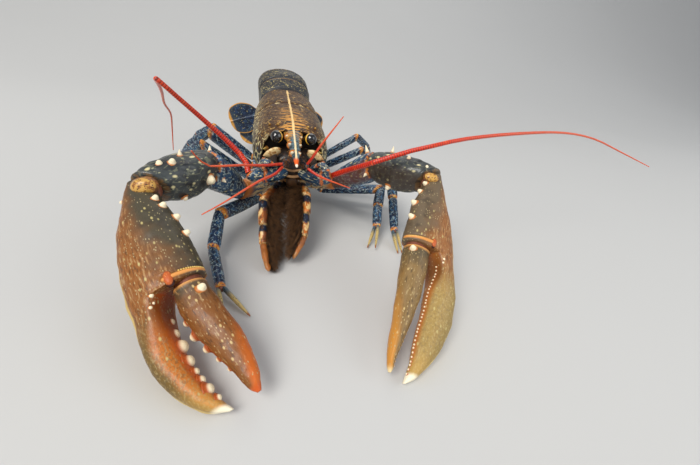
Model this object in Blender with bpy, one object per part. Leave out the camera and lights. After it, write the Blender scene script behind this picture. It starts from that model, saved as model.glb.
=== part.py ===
# European lobster, life size, standing on a flat floor with raised feelers.
# Sizes and places are in millimetres in the animal's own frame: +X is its left side,
# -Y is the way it faces, +Z is up and the floor is z = 0. MM turns them into metres.
# Side is +1 for the animal's left and -1 for its right.

import math

import bmesh
import bpy
import numpy as np

MM = 0.001
JOINT_GAP = 0.3
FLOOR = 0.0

# Driving sizes of the body
CARAPACE_FRONT_Y = 5.0
ROSTRUM_TIP = (0.0, -34.5, 65.5)
EYE_CENTRE = (12.2, -0.5, 75.3)
EYE_RADIUS = 4.6
# Eye on its stalk: share of the length, share of the radius
EYE_PROFILE = [(0.0, 0.62), (0.12, 0.62), (0.22, 0.82), (0.4, 0.98), (0.58, 1.0), (0.76, 0.86), (0.92, 0.5),
               (1.0, 0.12)]
STERNUM_TOP_Z = 35.7

# Carapace sections: y, half width, height of the widest line, top, lower edge
CARAPACE = [
    (5.0, 23.5, 58.0, 79.6, 42.5),
    (16.0, 28.6, 57.0, 83.0, 40.5),
    (40.0, 30.4, 58.0, 86.2, 40.0),
    (63.0, 31.0, 59.0, 88.4, 38.0),
    (66.0, 30.4, 59.0, 87.4, 37.5),
    (69.0, 31.0, 59.0, 88.9, 37.0),
    (92.0, 31.0, 60.0, 91.4, 36.0),
    (112.0, 29.6, 61.0, 92.8, 36.0),
    (121.0, 28.2, 62.0, 92.2, 39.0),
]

# Rostrum: share of the way from inside the carapace to the tip, half width, above, below
ROSTRUM = [(0.0, 9.0, 3.0, 5.0), (0.35, 6.4, 3.2, 4.0), (0.6, 4.2, 2.8, 3.0), (0.8, 2.6, 2.2, 2.2),
           (1.0, 0.7, 0.6, 0.6)]
ROSTRUM_ARCH = 5.0
ROSTRUM_BASE = (0.0, 22.0, 79.5)
# Teeth on each side of the beak: share of its length, length
ROSTRUM_TEETH = [(0.40, 3.6), (0.60, 4.0), (0.775, 3.6)]
# Spines on each side of the shell: root, reach forwards, outwards and upwards, radius
CARAPACE_SPINES = [((11.0, 12.0, 81.0), (-3.4, 0.6, 1.6), 1.2), ((19.5, 6.6, 64.0), (-5.6, 2.4, 1.2), 1.7),
                   ((17.0, 14.0, 80.2), (-2.4, 0.5, 1.3), 0.9)]
SPINE_SIDES = 5
KNOB_SIDES = 6
LIMB_POWER = 2.4
SLANT_REACH = 0.4
# Underside between the legs: y, half width, lowest height
STERNUM = [(16.0, 6.5, 31.0), (30.0, 8.5, 28.0), (60.0, 11.0, 27.0), (100.0, 12.5, 27.0), (117.0, 11.0, 29.0)]
# Plate under the eyes that carries the feelers: y, half width, top, bottom
EPISTOME = [(4.7, 19.0, 68.0, 43.5), (0.0, 18.0, 67.0, 44.0), (-5.0, 15.0, 65.0, 45.0),
            (-7.5, 11.0, 63.0, 47.0)]
# Jaws under that plate, between the mouth legs: y, half width, top, bottom
JAWS = [(4.7, 4.0, 48.0, 38.0), (0.0, 4.4, 48.0, 37.0), (-4.0, 4.0, 48.0, 38.5), (-6.5, 2.4, 48.0, 41.5)]
UROPOD_BASE = {"exopod": (17.5, -4.8), "endopod": (11.5, -3.4)}

# Abdomen: dorsal length, heading above level in degrees, half width, depth, pleura depth
ABDOMEN_START = (121.3, 91.0)
ABDOMEN = [
    (19.0, 34.0, 25.5, 30.0, 33.0),
    (24.0, 16.0, 26.5, 32.0, 44.0),
    (24.0, -6.0, 26.0, 31.0, 43.0),
    (22.0, -32.0, 25.0, 29.0, 40.0),
    (20.0, -58.0, 23.5, 26.0, 36.0),
    (20.0, -88.0, 20.5, 21.0, 25.0),
]
TELSON_LENGTH = 51.0
TELSON_HALF_WIDTH = 15.0
# How far the end of the tail swings to the animal's right
TAIL_SWING = 8.0
# Tail blades: length, half width, angle below level, distance in front of the back of the tail
EXOPOD = (42.0, 18.5, 19.0, 13.2)
ENDOPOD = (49.0, 14.5, 55.0, 8.6)
# Swimmerets under the second to fifth segments: length, half width, half thickness
SWIMMERETS = {1: (14.0, 4.2, 0.6), 2: (12.0, 4.2, 0.6), 3: (9.0, 3.8, 0.6), 4: (7.0, 3.4, 0.6)}

# Large claws: joints, direction of the tips, roll of the blade about its own axis
CRUSHER_JOINTS = [(-15.0, 33.0, 31.0), (-39.0, 11.0, 28.0), (-56.5, -20.0, 56.0),
                  (-81.5, -53.0, 54.5), (-30.5, -156.0, 5.5)]
CUTTER_JOINTS = [(15.0, 33.0, 31.0), (39.0, 25.0, 34.0), (60.5, -11.5, 62.0),
                 (88.5, -48.5, 66.0), (43.5, -152.0, 3.0)]
CRUSHER_ROLL = 28.0
CUTTER_ROLL = 25.0

# Blade outlines: share of the length, outer edge, inner edge, half thickness, squareness of the section
CRUSHER_PALM = [
    (0.00, -10.0, 3.0, 7.0, 2.2),
    (0.05, -13.0, 3.6, 8.0, 2.2),
    (0.12, -17.0, 5.2, 9.6, 2.2),
    (0.22, -22.0, 7.2, 11.4, 2.2),
    (0.33, -24.8, 8.6, 12.4, 2.2),
    (0.43, -26.2, 9.6, 12.4, 2.2),
    (0.495, -26.2, 9.9, 12.0, 2.3),
    (0.51, -26.0, 9.7, 11.8, 2.4),
    (0.525, -25.8, -9.0, 11.2, 3.2),
    (0.60, -25.0, -12.0, 10.2, 3.0),
    (0.68, -25.0, -12.0, 9.2, 2.7),
    (0.77, -23.6, -10.7, 8.2, 2.4),
    (0.86, -19.7, -8.1, 6.8, 2.3),
    (0.93, -14.0, -5.0, 4.9, 2.2),
    (0.98, -7.8, -1.4, 2.9, 2.2),
    (1.00, -2.4, -0.4, 1.1, 2.2),
]
CUTTER_PALM = [
    (0.00, -7.5, 4.5, 6.6, 2.2),
    (0.05, -9.6, 4.6, 7.2, 2.2),
    (0.12, -13.2, 7.0, 8.2, 2.2),
    (0.22, -17.6, 9.6, 9.2, 2.2),
    (0.33, -21.4, 11.0, 9.6, 2.2),
    (0.40, -22.8, 11.4, 9.4, 2.3),
    (0.415, -22.8, 11.4, 9.2, 2.4),
    (0.43, -22.8, -7.0, 9.0, 3.2),
    (0.52, -24.2, -10.5, 8.2, 3.0),
    (0.61, -25.6, -8.8, 7.4, 2.7),
    (0.71, -25.4, -6.7, 6.6, 2.4),
    (0.80, -22.2, -5.0, 5.6, 2.2),
    (0.88, -16.6, -4.0, 4.6, 2.2),
    (0.94, -10.6, -3.0, 3.4, 2.2),
    (0.985, -4.8, -1.5, 1.9, 2.2),
    (1.00, -2.0, -0.8, 0.9, 2.2),
]

# Movable fingers: place of the hinge and the tip along and across the claw, slant of the hinge
# (how far it moves along for each millimetre up the blade), and rows of share of the way from
# hinge to tip, gap side, outer side, half thickness, squareness
CRUSHER_HINGE = (66.5, 2.2)
CRUSHER_SLANT = 0.15
CRUSHER_DACTYL_TIP = (124.5, 11.0)
CRUSHER_DACTYL = [
    (0.00, -8.0, 6.0, 8.4, 2.3),
    (0.10, -9.4, 6.2, 8.6, 2.3),
    (0.20, -10.2, 6.6, 8.2, 2.3),
    (0.38, -9.7, 6.9, 7.3, 2.2),
    (0.56, -7.4, 7.2, 6.2, 2.2),
    (0.73, -5.0, 6.1, 5.0, 2.2),
    (0.88, -3.4, 4.4, 3.6, 2.2),
    (0.96, -2.3, 2.3, 2.1, 2.2),
    (1.00, -0.8, 1.0, 1.0, 2.2),
]
CUTTER_HINGE = (56.5, 2.8)
CUTTER_SLANT = 0.1
CUTTER_DACTYL_TIP = (126.5, 7.0)
CUTTER_DACTYL = [
    (0.00, -8.4, 7.0, 7.0, 2.3),
    (0.08, -8.5, 7.0, 7.2, 2.3),
    (0.20, -8.6, 6.6, 6.8, 2.3),
    (0.34, -8.1, 5.9, 6.2, 2.2),
    (0.50, -6.8, 4.9, 5.6, 2.2),
    (0.64, -5.0, 4.1, 4.9, 2.2),
    (0.78, -3.0, 3.7, 4.0, 2.2),
    (0.90, -1.2, 3.1, 2.9, 2.2),
    (0.97, -1.0, 1.8, 1.8, 2.2),
    (1.00, -0.4, 0.8, 0.8, 2.2),
]

# Knobs and teeth of the claws: share of the length, angle round the section (0 the inner edge, 90 the
# upper face, 180 the outer edge), radius, height
CRUSHER_PALM_KNOBS = [(0.11, 40.0, 1.9, 2.1), (0.155, 28.0, 2.0, 2.2), (0.215, 8.0, 2.2, 2.4),
                      (0.315, 5.0, 2.1, 2.4), (0.07, 155.0, 1.3, 1.3)]
CRUSHER_DACTYL_KNOBS = [(0.13, 46.0, 2.2, 2.3)]
CRUSHER_PALM_TEETH = [(0.62, -4.0, 1.6, 1.3), (0.67, -4.0, 2.0, 1.9), (0.725, -4.0, 3.0, 3.6),
                      (0.785, -4.0, 2.5, 2.6), (0.83, -2.0, 1.6, 1.8), (0.865, 0.0, 1.7, 1.8),
                      (0.905, 4.0, 2.2, 2.2), (0.945, 6.0, 1.4, 1.4)]
CRUSHER_DACTYL_TEETH = [(0.24, 184.0, 2.0, 1.8), (0.37, 184.0, 2.6, 2.6), (0.51, 184.0, 2.2, 2.2),
                        (0.63, 184.0, 1.6, 1.5), (0.74, 184.0, 1.2, 1.1)]
CUTTER_PALM_KNOBS = [(0.045, 20.0, 1.8, 2.0), (0.095, 6.0, 1.9, 2.2), (0.19, 8.0, 2.1, 2.6),
                     (0.29, 12.0, 2.0, 2.6)]
CUTTER_DACTYL_KNOBS = [(0.055, 46.0, 2.0, 2.2)]
# Rows of bead teeth: first and last share, count, angle, radius
CUTTER_PALM_BEADS = (0.50, 0.965, 17, 8.0, 0.8)
CUTTER_DACTYL_BEADS = (0.22, 0.94, 11, 172.0, 0.65)
# Knobs and spines of the arms: share of the segment, angle round it, radius, height
CRUSHER_MERUS_SPINES = [(0.93, -125.0, 2.4, 6.0), (0.87, 10.0, 2.0, 3.0)]
CRUSHER_CARPUS_SPINES = [(0.235, 0.0, 3.2, 3.4), (0.475, -96.0, 1.9, 3.4), (0.68, -80.0, 2.1, 2.2),
                         (0.8, -98.0, 2.0, 1.8), (0.9, -146.0, 1.7, 1.5), (0.67, 32.0, 1.8, 1.4),
                         (0.87, 164.0, 5.0, 2.4)]
CUTTER_MERUS_SPINES = [(0.93, -75.0, 2.2, 6.5), (0.95, 165.0, 2.0, 3.4)]
CUTTER_CARPUS_SPINES = [(0.28, -68.0, 1.9, 4.4), (0.635, -88.0, 1.5, 1.8), (0.94, -88.0, 1.4, 1.4),
                        (0.43, 144.0, 2.3, 2.4), (0.88, -118.0, 4.4, 2.0)]

# Walking legs, second to fifth pair: root, hip, knee, wrist, finger joint, tip
LEGS = {
    "2_r": [(-14, 52, 31), (-26, 38, 9.5), (-51, -20, 22), (-52.5, -47, 9.5), (-44, -82, 5.5),
            (-27, -101, 1.2)],
    "2_l": [(14, 52, 31), (34, 50, 16), (86, 31, 26), (78, 9, 18), (71, -15, 11), (60, -32, 1.2)],
    "3_r": [(-14, 70, 31), (-34, 66, 18), (-71, 46, 52), (-88, 64, 36), (-99, 88, 13), (-106, 99, 0.9)],
    "3_l": [(14, 70, 31), (36, 70, 19), (97, 42, 40), (93, 14, 24), (86, -19, 9), (83.5, -40, 0.9)],
    "4_r": [(-14, 87, 31), (-34, 88, 22), (-69, 72, 55), (-89, 91, 38), (-106, 116, 12), (-112, 129, 0.8)],
    "4_l": [(14, 87, 31), (34, 88, 23), (74.5, 74, 50), (92, 93, 35), (107, 119, 12), (113, 132, 0.8)],
    "5_r": [(-14, 103, 31), (-34, 107, 25), (-70, 109, 52), (-88, 127, 38), (-105, 151, 12),
            (-111, 164, 0.8)],
    "5_l": [(14, 103, 31), (34, 107, 26), (76, 104, 56), (95, 123, 41), (111, 150, 13), (117, 164, 0.8)],
}
# Tips of the fixed fingers beside the movable ones, for the two pairs that end in pincers
FIXED_TIP = {"2_r": (-41, -98, 1.2), "2_l": (65, -36, 3.5), "3_r": (-102.5, 100, 0.9), "3_l": (87, -40, 0.9)}
PINCER_SPREAD = 1.55
LEG_THICKNESS = {"2": 1.0, "3": 0.97, "4": 0.9, "5": 0.84}

# Limb sections: share of the segment, half width, half height
MERUS = [[(0.0, 6.2, 6.4), (0.3, 7.0, 7.2), (0.7, 7.2, 7.4), (1.0, 6.4, 6.8)],
         [(0.0, 6.4, 6.8), (0.15, 7.6, 8.2), (0.6, 9.6, 10.6), (0.9, 10.4, 11.6), (1.0, 9.0, 10.0)]]
CARPUS = [(0.0, 8.8, 10.0), (0.12, 10.6, 11.8), (0.42, 12.4, 13.6), (0.7, 11.8, 12.8), (0.88, 9.8, 10.6),
          (1.0, 7.8, 8.6)]
LEG_KEYS = {
    "upper": [[(0.0, 4.2, 4.4), (0.45, 4.4, 4.6), (1.0, 3.7, 4.1)],
              [(0.0, 3.7, 4.1), (0.12, 3.5, 4.7), (0.6, 3.7, 5.2), (0.93, 3.7, 4.9), (1.0, 3.1, 4.2)]],
    "lower": [[(0.0, 3.0, 4.0), (0.15, 3.3, 4.5), (0.85, 3.5, 4.7), (1.0, 2.9, 3.8)],
              [(0.0, 2.9, 3.8), (0.12, 3.1, 4.1), (0.7, 3.0, 4.0), (1.0, 2.4, 3.0)]],
    "finger": [[(0.0, 1.25, 2.1), (0.3, 1.25, 1.9), (0.7, 0.95, 1.3), (1.0, 0.4, 0.45)]],
    "toe": [[(0.0, 2.2, 2.6), (0.3, 2.0, 2.3), (0.75, 1.3, 1.4), (1.0, 0.5, 0.6)]],
}

# Feelers and mouth legs
ANTENNA = {
    -1: [(-31, -15, 52), (-32, -11, 56.5), (-36.3, -7, 62), (-48, -7, 74), (-60.6, -14, 88), (-70, -24, 100),
         (-75, -32, 107.5), (-78.5, -24, 107), (-84, 0, 101), (-90, 27, 92), (-96, 52, 80), (-98, 74, 68),
         (-103, 92, 51), (-107, 102, 28)],
    1: [(28.5, -12.8, 53), (36, -21, 60), (43, -33, 68), (52, -41, 75), (72, -43.5, 84), (88.5, -46, 90),
        (109, -43.6, 95), (151, -35.5, 100), (209.5, -18.5, 102), (253, -11, 99), (293, -9, 90),
        (330, -14.6, 80)],
}
ANTENNA_RADII = [(0.0, 2.1), (0.08, 1.9), (0.29, 1.4), (0.43, 1.2), (0.62, 0.93), (0.88, 0.62), (1.0, 0.35)]
ANTENNA_STEPS = {-1: 34, 1: 26}
ANTENNULE_RADII = [(0.0, 1.05), (0.4, 0.8), (1.0, 0.3)]
ANTENNULE_JOINT = (8.5, -23.5, 62.0)
ANTENNULE = {
    -1: [[(-8.5, -23.5, 62.8), (-20, -34, 65), (-32.5, -44.7, 68), (-41.5, -53.7, 70), (-49.3, -60.6, 72),
          (-52.7, -67.1, 78), (-53.5, -75.1, 84)],
         [(-8.5, -23.5, 61.2), (-14, -36, 60), (-23.2, -48.7, 60), (-40.4, -70.8, 56), (-51.1, -78.7, 52)]],
    1: [[(8.5, -23.5, 62.8), (12, -25, 71), (17, -25.5, 80), (29, -25, 98)],
        [(8.5, -23.5, 61.2), (13, -27, 59), (19.7, -30.9, 57), (37.9, -33.6, 52)]],
}
MAXILLIPED = {
    -1: [(-8.5, 6, 35), (-20, -15, 30), (-20, -32, 19.6), (-20, -44, 11.2), (-17, -64, 4)],
    1: [(8.5, 6, 35), (10, -15, 34.5), (8.5, -30, 28), (6.6, -44, 17.9), (-0.7, -56, 8)],
}

# Colour (linear), roughness
SHELL_BROWN = ((0.055, 0.038, 0.022), 0.38)
SHELL_BLUE = ((0.016, 0.045, 0.11), 0.36)
SHELL_DARK = ((0.035, 0.045, 0.06), 0.38)
CLAW_RUST = ((0.26, 0.10, 0.03), 0.42)
FEELER_RED = ((0.55, 0.035, 0.012), 0.40)
EYE_BLACK = ((0.004, 0.004, 0.004), 0.08)
CREAM = ((0.55, 0.42, 0.24), 0.5)


def clear_scene():
    for obj in list(bpy.data.objects):
        bpy.data.objects.remove(obj, do_unlink=True)


def collection(name):
    made = bpy.data.collections.new(name)
    bpy.context.scene.collection.children.link(made)
    return made


def material(name, look):
    colour, roughness = look
    made = bpy.data.materials.new(name)
    made.use_nodes = True
    shader = made.node_tree.nodes["Principled BSDF"]
    shader.inputs["Base Color"].default_value = (*colour, 1.0)
    shader.inputs["Roughness"].default_value = roughness
    shader.inputs["Metallic"].default_value = 0.0
    return made


def unit(vector):
    vector = np.asarray(vector, float)
    return vector / np.linalg.norm(vector)


def eased(keys, share):
    """Smooth, monotone interpolation through rows of (position, value, ...)."""
    keys = np.asarray(keys, float)
    x = keys[:, 0]
    y = keys[:, 1:]
    step = np.diff(x)[:, None]
    slope = np.diff(y, axis=0) / step
    tangent = np.zeros_like(y)
    tangent[0] = slope[0]
    tangent[-1] = slope[-1]
    for i in range(1, len(x) - 1):
        same_way = slope[i - 1] * slope[i] > 0
        weight_a = 2 * step[i] + step[i - 1]
        weight_b = step[i] + 2 * step[i - 1]
        safe_a = np.where(same_way, slope[i - 1], 1.0)
        safe_b = np.where(same_way, slope[i], 1.0)
        tangent[i] = np.where(same_way, (weight_a + weight_b) / (weight_a / safe_a + weight_b / safe_b), 0.0)
    i = int(np.clip(np.searchsorted(x, share) - 1, 0, len(x) - 2))
    h = x[i + 1] - x[i]
    t = (share - x[i]) / h
    return ((2 * t**3 - 3 * t**2 + 1) * y[i] + (t**3 - 2 * t**2 + t) * h * tangent[i]
            + (3 * t**2 - 2 * t**3) * y[i + 1] + (t**3 - t**2) * h * tangent[i + 1])


def smooth_path(points, count):
    """Points evenly spread along a Catmull-Rom curve through the given ones."""
    points = np.asarray(points, float)
    padded = np.vstack([2 * points[0] - points[1], points, 2 * points[-1] - points[-2]])
    fine = []
    for i in range(1, len(padded) - 2):
        a, b, c, d = padded[i - 1:i + 3]
        for t in np.linspace(0, 1, 12, endpoint=False):
            fine.append(0.5 * (2 * b + (c - a) * t + (2 * a - 5 * b + 4 * c - d) * t**2
                               + (3 * b - a - 3 * c + d) * t**3))
    fine.append(points[-1])
    fine = np.array(fine)
    length = np.r_[0, np.cumsum(np.linalg.norm(np.diff(fine, axis=0), axis=1))]
    wanted = np.linspace(0, length[-1], count)
    return np.column_stack([np.interp(wanted, length, fine[:, k]) for k in range(3)])


def oval(sides, left, right, above, below, power=2.3):
    """Outline in a section plane: x from left to right, y from -below to above."""
    angle = np.linspace(0, 2 * math.pi, sides, endpoint=False)
    cos_part = np.sign(np.cos(angle)) * np.abs(np.cos(angle)) ** (2 / power)
    sin_part = np.sign(np.sin(angle)) * np.abs(np.sin(angle)) ** (2 / power)
    x = (left + right) / 2 + (right - left) / 2 * cos_part
    y = np.where(sin_part > 0, above * sin_part, below * sin_part)
    return np.column_stack([x, y])


def ring(centre, side, up, outline):
    return np.asarray(centre, float) + np.outer(outline[:, 0], side) + np.outer(outline[:, 1], up)


def loft(rings):
    """A closed surface through rings of equal counts, with a fan of triangles over each end."""
    mesh = bmesh.new()
    rows = [[mesh.verts.new(point * MM) for point in points] for points in rings]
    count = len(rows[0])
    for near, far in zip(rows[:-1], rows[1:]):
        for j in range(count):
            k = (j + 1) % count
            mesh.faces.new((near[j], near[k], far[k], far[j]))
    for row, points, flip in ((rows[0], rings[0], True), (rows[-1], rings[-1], False)):
        middle = mesh.verts.new(np.mean(points, axis=0) * MM)
        for j in range(count):
            pair = (row[j], row[(j + 1) % count])
            mesh.faces.new((pair[1], pair[0], middle) if flip else (pair[0], pair[1], middle))
    bmesh.ops.recalc_face_normals(mesh, faces=mesh.faces)
    data = bpy.data.meshes.new("loft")
    mesh.to_mesh(data)
    mesh.free()
    return data


def add(name, data, look=None, parts=None):
    """Links a mesh as an object, standing on the floor where it would reach below it."""
    for vertex in data.vertices:
        vertex.co.z = max(vertex.co.z, FLOOR)
    obj = bpy.data.objects.new(name, data)
    target = parts or LOBSTER
    target.objects.link(obj)
    if look:
        data.name = name
        data.materials.append(material(name, look))
        data.shade_smooth()
        data.set_sharp_from_angle(angle=math.radians(50))
    return obj


def fuse(body, pieces):
    """Joins closed pieces to a body in one Boolean union and keeps the largest closed surface."""
    if not pieces:
        return body
    group = bpy.data.collections.new("pieces of " + body.name)
    for piece in pieces:
        for owner in list(piece.users_collection):
            owner.objects.unlink(piece)
        group.objects.link(piece)
    union = body.modifiers.new("union", "BOOLEAN")
    union.operation = "UNION"
    union.operand_type = "COLLECTION"
    union.collection = group
    union.solver = "EXACT"
    bpy.context.view_layer.update()
    joined = bpy.data.meshes.new_from_object(body.evaluated_get(bpy.context.evaluated_depsgraph_get()))
    body.modifiers.clear()
    body.data = joined
    joined.name = body.name
    for piece in pieces:
        bpy.data.objects.remove(piece, do_unlink=True)
    bpy.data.collections.remove(group)
    keep_largest(body)
    return body


def keep_largest(body):
    mesh = bmesh.new()
    mesh.from_mesh(body.data)
    bmesh.ops.remove_doubles(mesh, verts=mesh.verts, dist=0.00001)
    left = set(mesh.faces)
    best = []
    while left:
        shell = []
        front = [left.pop()]
        while front:
            face = front.pop()
            shell.append(face)
            for edge in face.edges:
                for other in edge.link_faces:
                    if other in left:
                        left.remove(other)
                        front.append(other)
        if len(shell) > len(best):
            best = shell
    kept = set(best)
    bmesh.ops.delete(mesh, geom=[face for face in mesh.faces if face not in kept], context="FACES")
    mesh.to_mesh(body.data)
    mesh.free()


def knob(centre, outward, radius, height, sides=KNOB_SIDES):
    """A rounded knob or, where it is much higher than wide, a spine, with its root sunk in."""
    outward = unit(outward)
    side = unit(np.cross(outward, (0.31, 0.47, 0.83)))
    lift = np.cross(outward, side)
    pointed = height > 1.6 * radius
    rows = [(-0.7 * radius, 1.0), (0.25 * height, 0.8), (height, 0.12)] if pointed else [
        (-0.7 * radius, 0.95), (0.3 * height, 1.0), (height, 0.5)]
    rings = [ring(np.asarray(centre, float) + outward * rise, side, lift,
                  oval(sides, -radius * share, radius * share, radius * share, radius * share, 2.0))
             for rise, share in rows]
    return add("knob", loft(rings))


def spine(root, tip, radius):
    """A straight spine with its root sunk in."""
    root = np.asarray(root, float)
    reach = np.asarray(tip, float) - root
    return knob(root, reach, radius, np.linalg.norm(reach), SPINE_SIDES)


def limb_spot(a, b, rows, hint, share, angle):
    """A point on a limb segment's surface and the direction out of it."""
    a = np.asarray(a, float)
    axis = unit(np.asarray(b, float) - a)
    side = unit(np.asarray(hint, float) - (np.asarray(hint, float) @ axis) * axis)
    lift = np.cross(side, axis)
    width, height = eased(rows, share)
    turn = math.radians(angle)
    flatness = abs(math.cos(turn) / width) ** LIMB_POWER + abs(math.sin(turn) / height) ** LIMB_POWER
    reach = flatness ** (-1 / LIMB_POWER)
    outward = side * math.cos(turn) + lift * math.sin(turn)
    return a + axis * share * np.linalg.norm(np.asarray(b, float) - a) + outward * reach, outward


def signed_power(value, power):
    return math.copysign(abs(value) ** power, value)


def blade_spot(origin, along, across, normal, length, keys, share, angle):
    """A point on a claw's blade and the direction out of it."""
    low, high, thick, power = eased(keys, share)
    turn = math.radians(angle)
    cos_part = signed_power(math.cos(turn), 2 / power)
    sin_part = signed_power(math.sin(turn), 2 / power)
    half = (high - low) / 2
    outward = (across * signed_power(cos_part, power - 1) / half
               + normal * signed_power(sin_part, power - 1) / thick)
    spot = (origin + along * share * length + across * ((low + high) / 2 + half * cos_part)
            + normal * thick * sin_part)
    return spot, unit(outward)


def halving_plane(point, before, after):
    """The plane through a joint that halves the bend between two directions."""
    return (np.asarray(point, float), unit(unit(before) + unit(after)))


def lean(points, plane, axis, distance, reach):
    """Tilts a ring towards the plane of a joint near it."""
    origin, normal = plane
    shift = (origin - points) @ normal / (axis @ normal)
    weight = max(0.0, 1.0 - distance / (2.2 * reach))
    return points + np.outer((shift - shift.mean()) * weight, axis)


def hold_back(points, plane, axis, room, far):
    """Keeps a ring at least room away from a joint's plane, on its own side."""
    origin, normal = plane
    height = (points - origin) @ normal
    if far:
        moved = np.minimum(height, -room)
    else:
        moved = np.maximum(height, room)
    return points + np.outer((moved - height) / (axis @ normal), axis)


def limb_rings(points, keys, hint, sides, start_plane=None, end_plane=None, power=2.2):
    """Rings along a bent limb, mitred at its joints.

    keys has a list for each segment, with rows of share, half width along hint, half height.
    """
    points = [np.asarray(point, float) for point in points]
    axes = [unit(b - a) for a, b in zip(points[:-1], points[1:])]
    rings = []
    for i, axis in enumerate(axes):
        length = np.linalg.norm(points[i + 1] - points[i])
        side = unit(np.asarray(hint, float) - (np.asarray(hint, float) @ axis) * axis)
        lift = np.cross(side, axis)
        near = start_plane if i == 0 else halving_plane(points[i], axes[i - 1], axis)
        last = i == len(axes) - 1
        far = end_plane if last else halving_plane(points[i + 1], axis, axes[i + 1])
        rows = keys[i]
        for k, (share, width, height) in enumerate(rows):
            if k == 0 and i > 0:
                continue
            points_here = ring(points[i] + axis * share * length, side, lift,
                               oval(sides, -width, width, height, height, power))
            reach = max(width, height)
            for plane, distance, order, is_far, inside in (
                    (near, share * length, k, False, i > 0),
                    (far, (1 - share) * length, len(rows) - 1 - k, True, not last)):
                if plane is None:
                    continue
                points_here = lean(points_here, plane, axis, distance, reach)
                room = 0.45 * order + (0.0 if inside else JOINT_GAP / 2)
                points_here = hold_back(points_here, plane, axis, room, is_far)
            rings.append(points_here)
    return rings


def bend_normal(a, b, c):
    a, b, c = (np.asarray(point, float) for point in (a, b, c))
    return unit(np.cross(b - a, c - b))


def claw_frame(joints, roll, side):
    """Along, across (outer to inner edge) and normal directions of a claw's blade."""
    wrist = np.array(joints[3])
    along = unit(np.array(joints[4]) - wrist)
    level = unit(np.cross(along, (0, 0, 1)))
    level = level if level[0] * side < 0 else -level
    upward = np.cross(along, level)
    upward = upward if upward[2] > 0 else -upward
    turn = math.radians(roll)
    across = level * math.cos(turn) + upward * math.sin(turn)
    normal = upward * math.cos(turn) - level * math.sin(turn)
    return along, across, normal


def blade_rings(origin, along, across, normal, length, keys, shares, sides, start_plane=None, slant=None):
    """Rings of a claw's blade or movable finger from rows of share, two edges, half thickness, squareness.

    slant is (share of the hinge, slant of the hinge): rings near the hinge lean as it does.
    """
    rings = []
    for k, share in enumerate(shares):
        low, high, thick, power = eased(keys, share)
        outline = oval(sides, low, high, thick, thick, power)
        points = ring(origin + along * share * length, across, normal, outline)
        if slant is not None:
            near = max(0.0, 1.0 - abs(share - slant[0]) / SLANT_REACH)
            points = points + np.outer(outline[:, 1] * slant[1] * near, along)
        if start_plane is not None:
            reach = (high - low) / 2
            points = lean(points, start_plane, along, share * length, reach)
            points = hold_back(points, start_plane, along, JOINT_GAP / 2 + 0.45 * k, False)
        rings.append(points)
    return rings


def tube(name, points, radii, sides, look, count, start_plane=None):
    """A tapering feeler on a smooth curve; radii are rows of (share, radius)."""
    path = smooth_path(points, count)
    rings = []
    side = None
    for i, centre in enumerate(path):
        axis = unit(path[min(i + 1, count - 1)] - path[max(i - 1, 0)])
        if side is None:
            side = unit(np.cross(axis, (0, 0, 1)))
        side = unit(side - (side @ axis) * axis)
        radius = float(eased(radii, i / (count - 1))[0])
        outline = oval(sides, -radius, radius, radius, radius, 2.0)
        points_here = ring(centre, side, np.cross(side, axis), outline)
        if start_plane is not None and i < 4:
            points_here = hold_back(points_here, start_plane, axis, JOINT_GAP / 2 + 0.3 * i, False)
        rings.append(points_here)
    return add(name, loft(rings), look)


def make_carapace():
    rings = []
    for y, half_width, middle, top, bottom in CARAPACE:
        outline = oval(20, -half_width, half_width, top - middle, middle - bottom, 2.5)
        rings.append(ring((0, y, middle), (1, 0, 0), (0, 0, 1), outline))
    body = add("carapace", loft(rings), SHELL_BROWN)
    base = np.array(ROSTRUM_BASE)
    along = np.array(ROSTRUM_TIP) - base
    rostrum = []
    for share, half_width, above, below in ROSTRUM:
        centre = base + along * share + np.array([0, 0, ROSTRUM_ARCH * share * (1 - share)])
        outline = oval(8, -half_width, half_width, above, below, 2.0)
        rostrum.append(ring(centre, (1, 0, 0), (0, 0, 1), outline))
    forms = [add("rostrum", loft(rostrum))]
    for side in (-1, 1):
        for share, length in ROSTRUM_TEETH:
            half_width = eased([row[:2] for row in ROSTRUM], share)[0]
            arch = ROSTRUM_ARCH * share * (1 - share) + 0.8
            root = base + along * share + np.array([side * half_width * 0.8, 0, arch])
            forms.append(spine(root, root + np.array([side * 0.35, -0.8, 0.42]) * length, 1.3))
        for root, reach, radius in CARAPACE_SPINES:
            start = np.array([side * root[0], root[1], root[2]])
            forms.append(spine(start, start + np.array([side * reach[1], reach[0], reach[2]]), radius))
    return fuse(body, forms)


def make_sternum():
    rings = []
    for y, half_width, bottom in STERNUM:
        outline = oval(8, -half_width, half_width, 0.0, STERNUM_TOP_Z - bottom, 4.0)
        outline = outline[outline[:, 1] <= 1e-9]
        rings.append(ring((0, y, STERNUM_TOP_Z), (1, 0, 0), (0, 0, 1), outline))
    return add("sternum", loft(rings), CREAM)


def make_epistome():
    made = []
    for name, rows, sides, look in (("epistome", EPISTOME, 10, SHELL_BLUE), ("jaws", JAWS, 8, None)):
        rings = []
        for y, half_width, top, bottom in rows:
            middle = (top + bottom) / 2
            outline = oval(sides, -half_width, half_width, top - middle, middle - bottom, 2.6)
            rings.append(ring((0, y, middle), (1, 0, 0), (0, 0, 1), outline))
        made.append(add(name, loft(rings), look))
    return fuse(made[0], made[1:])


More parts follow.
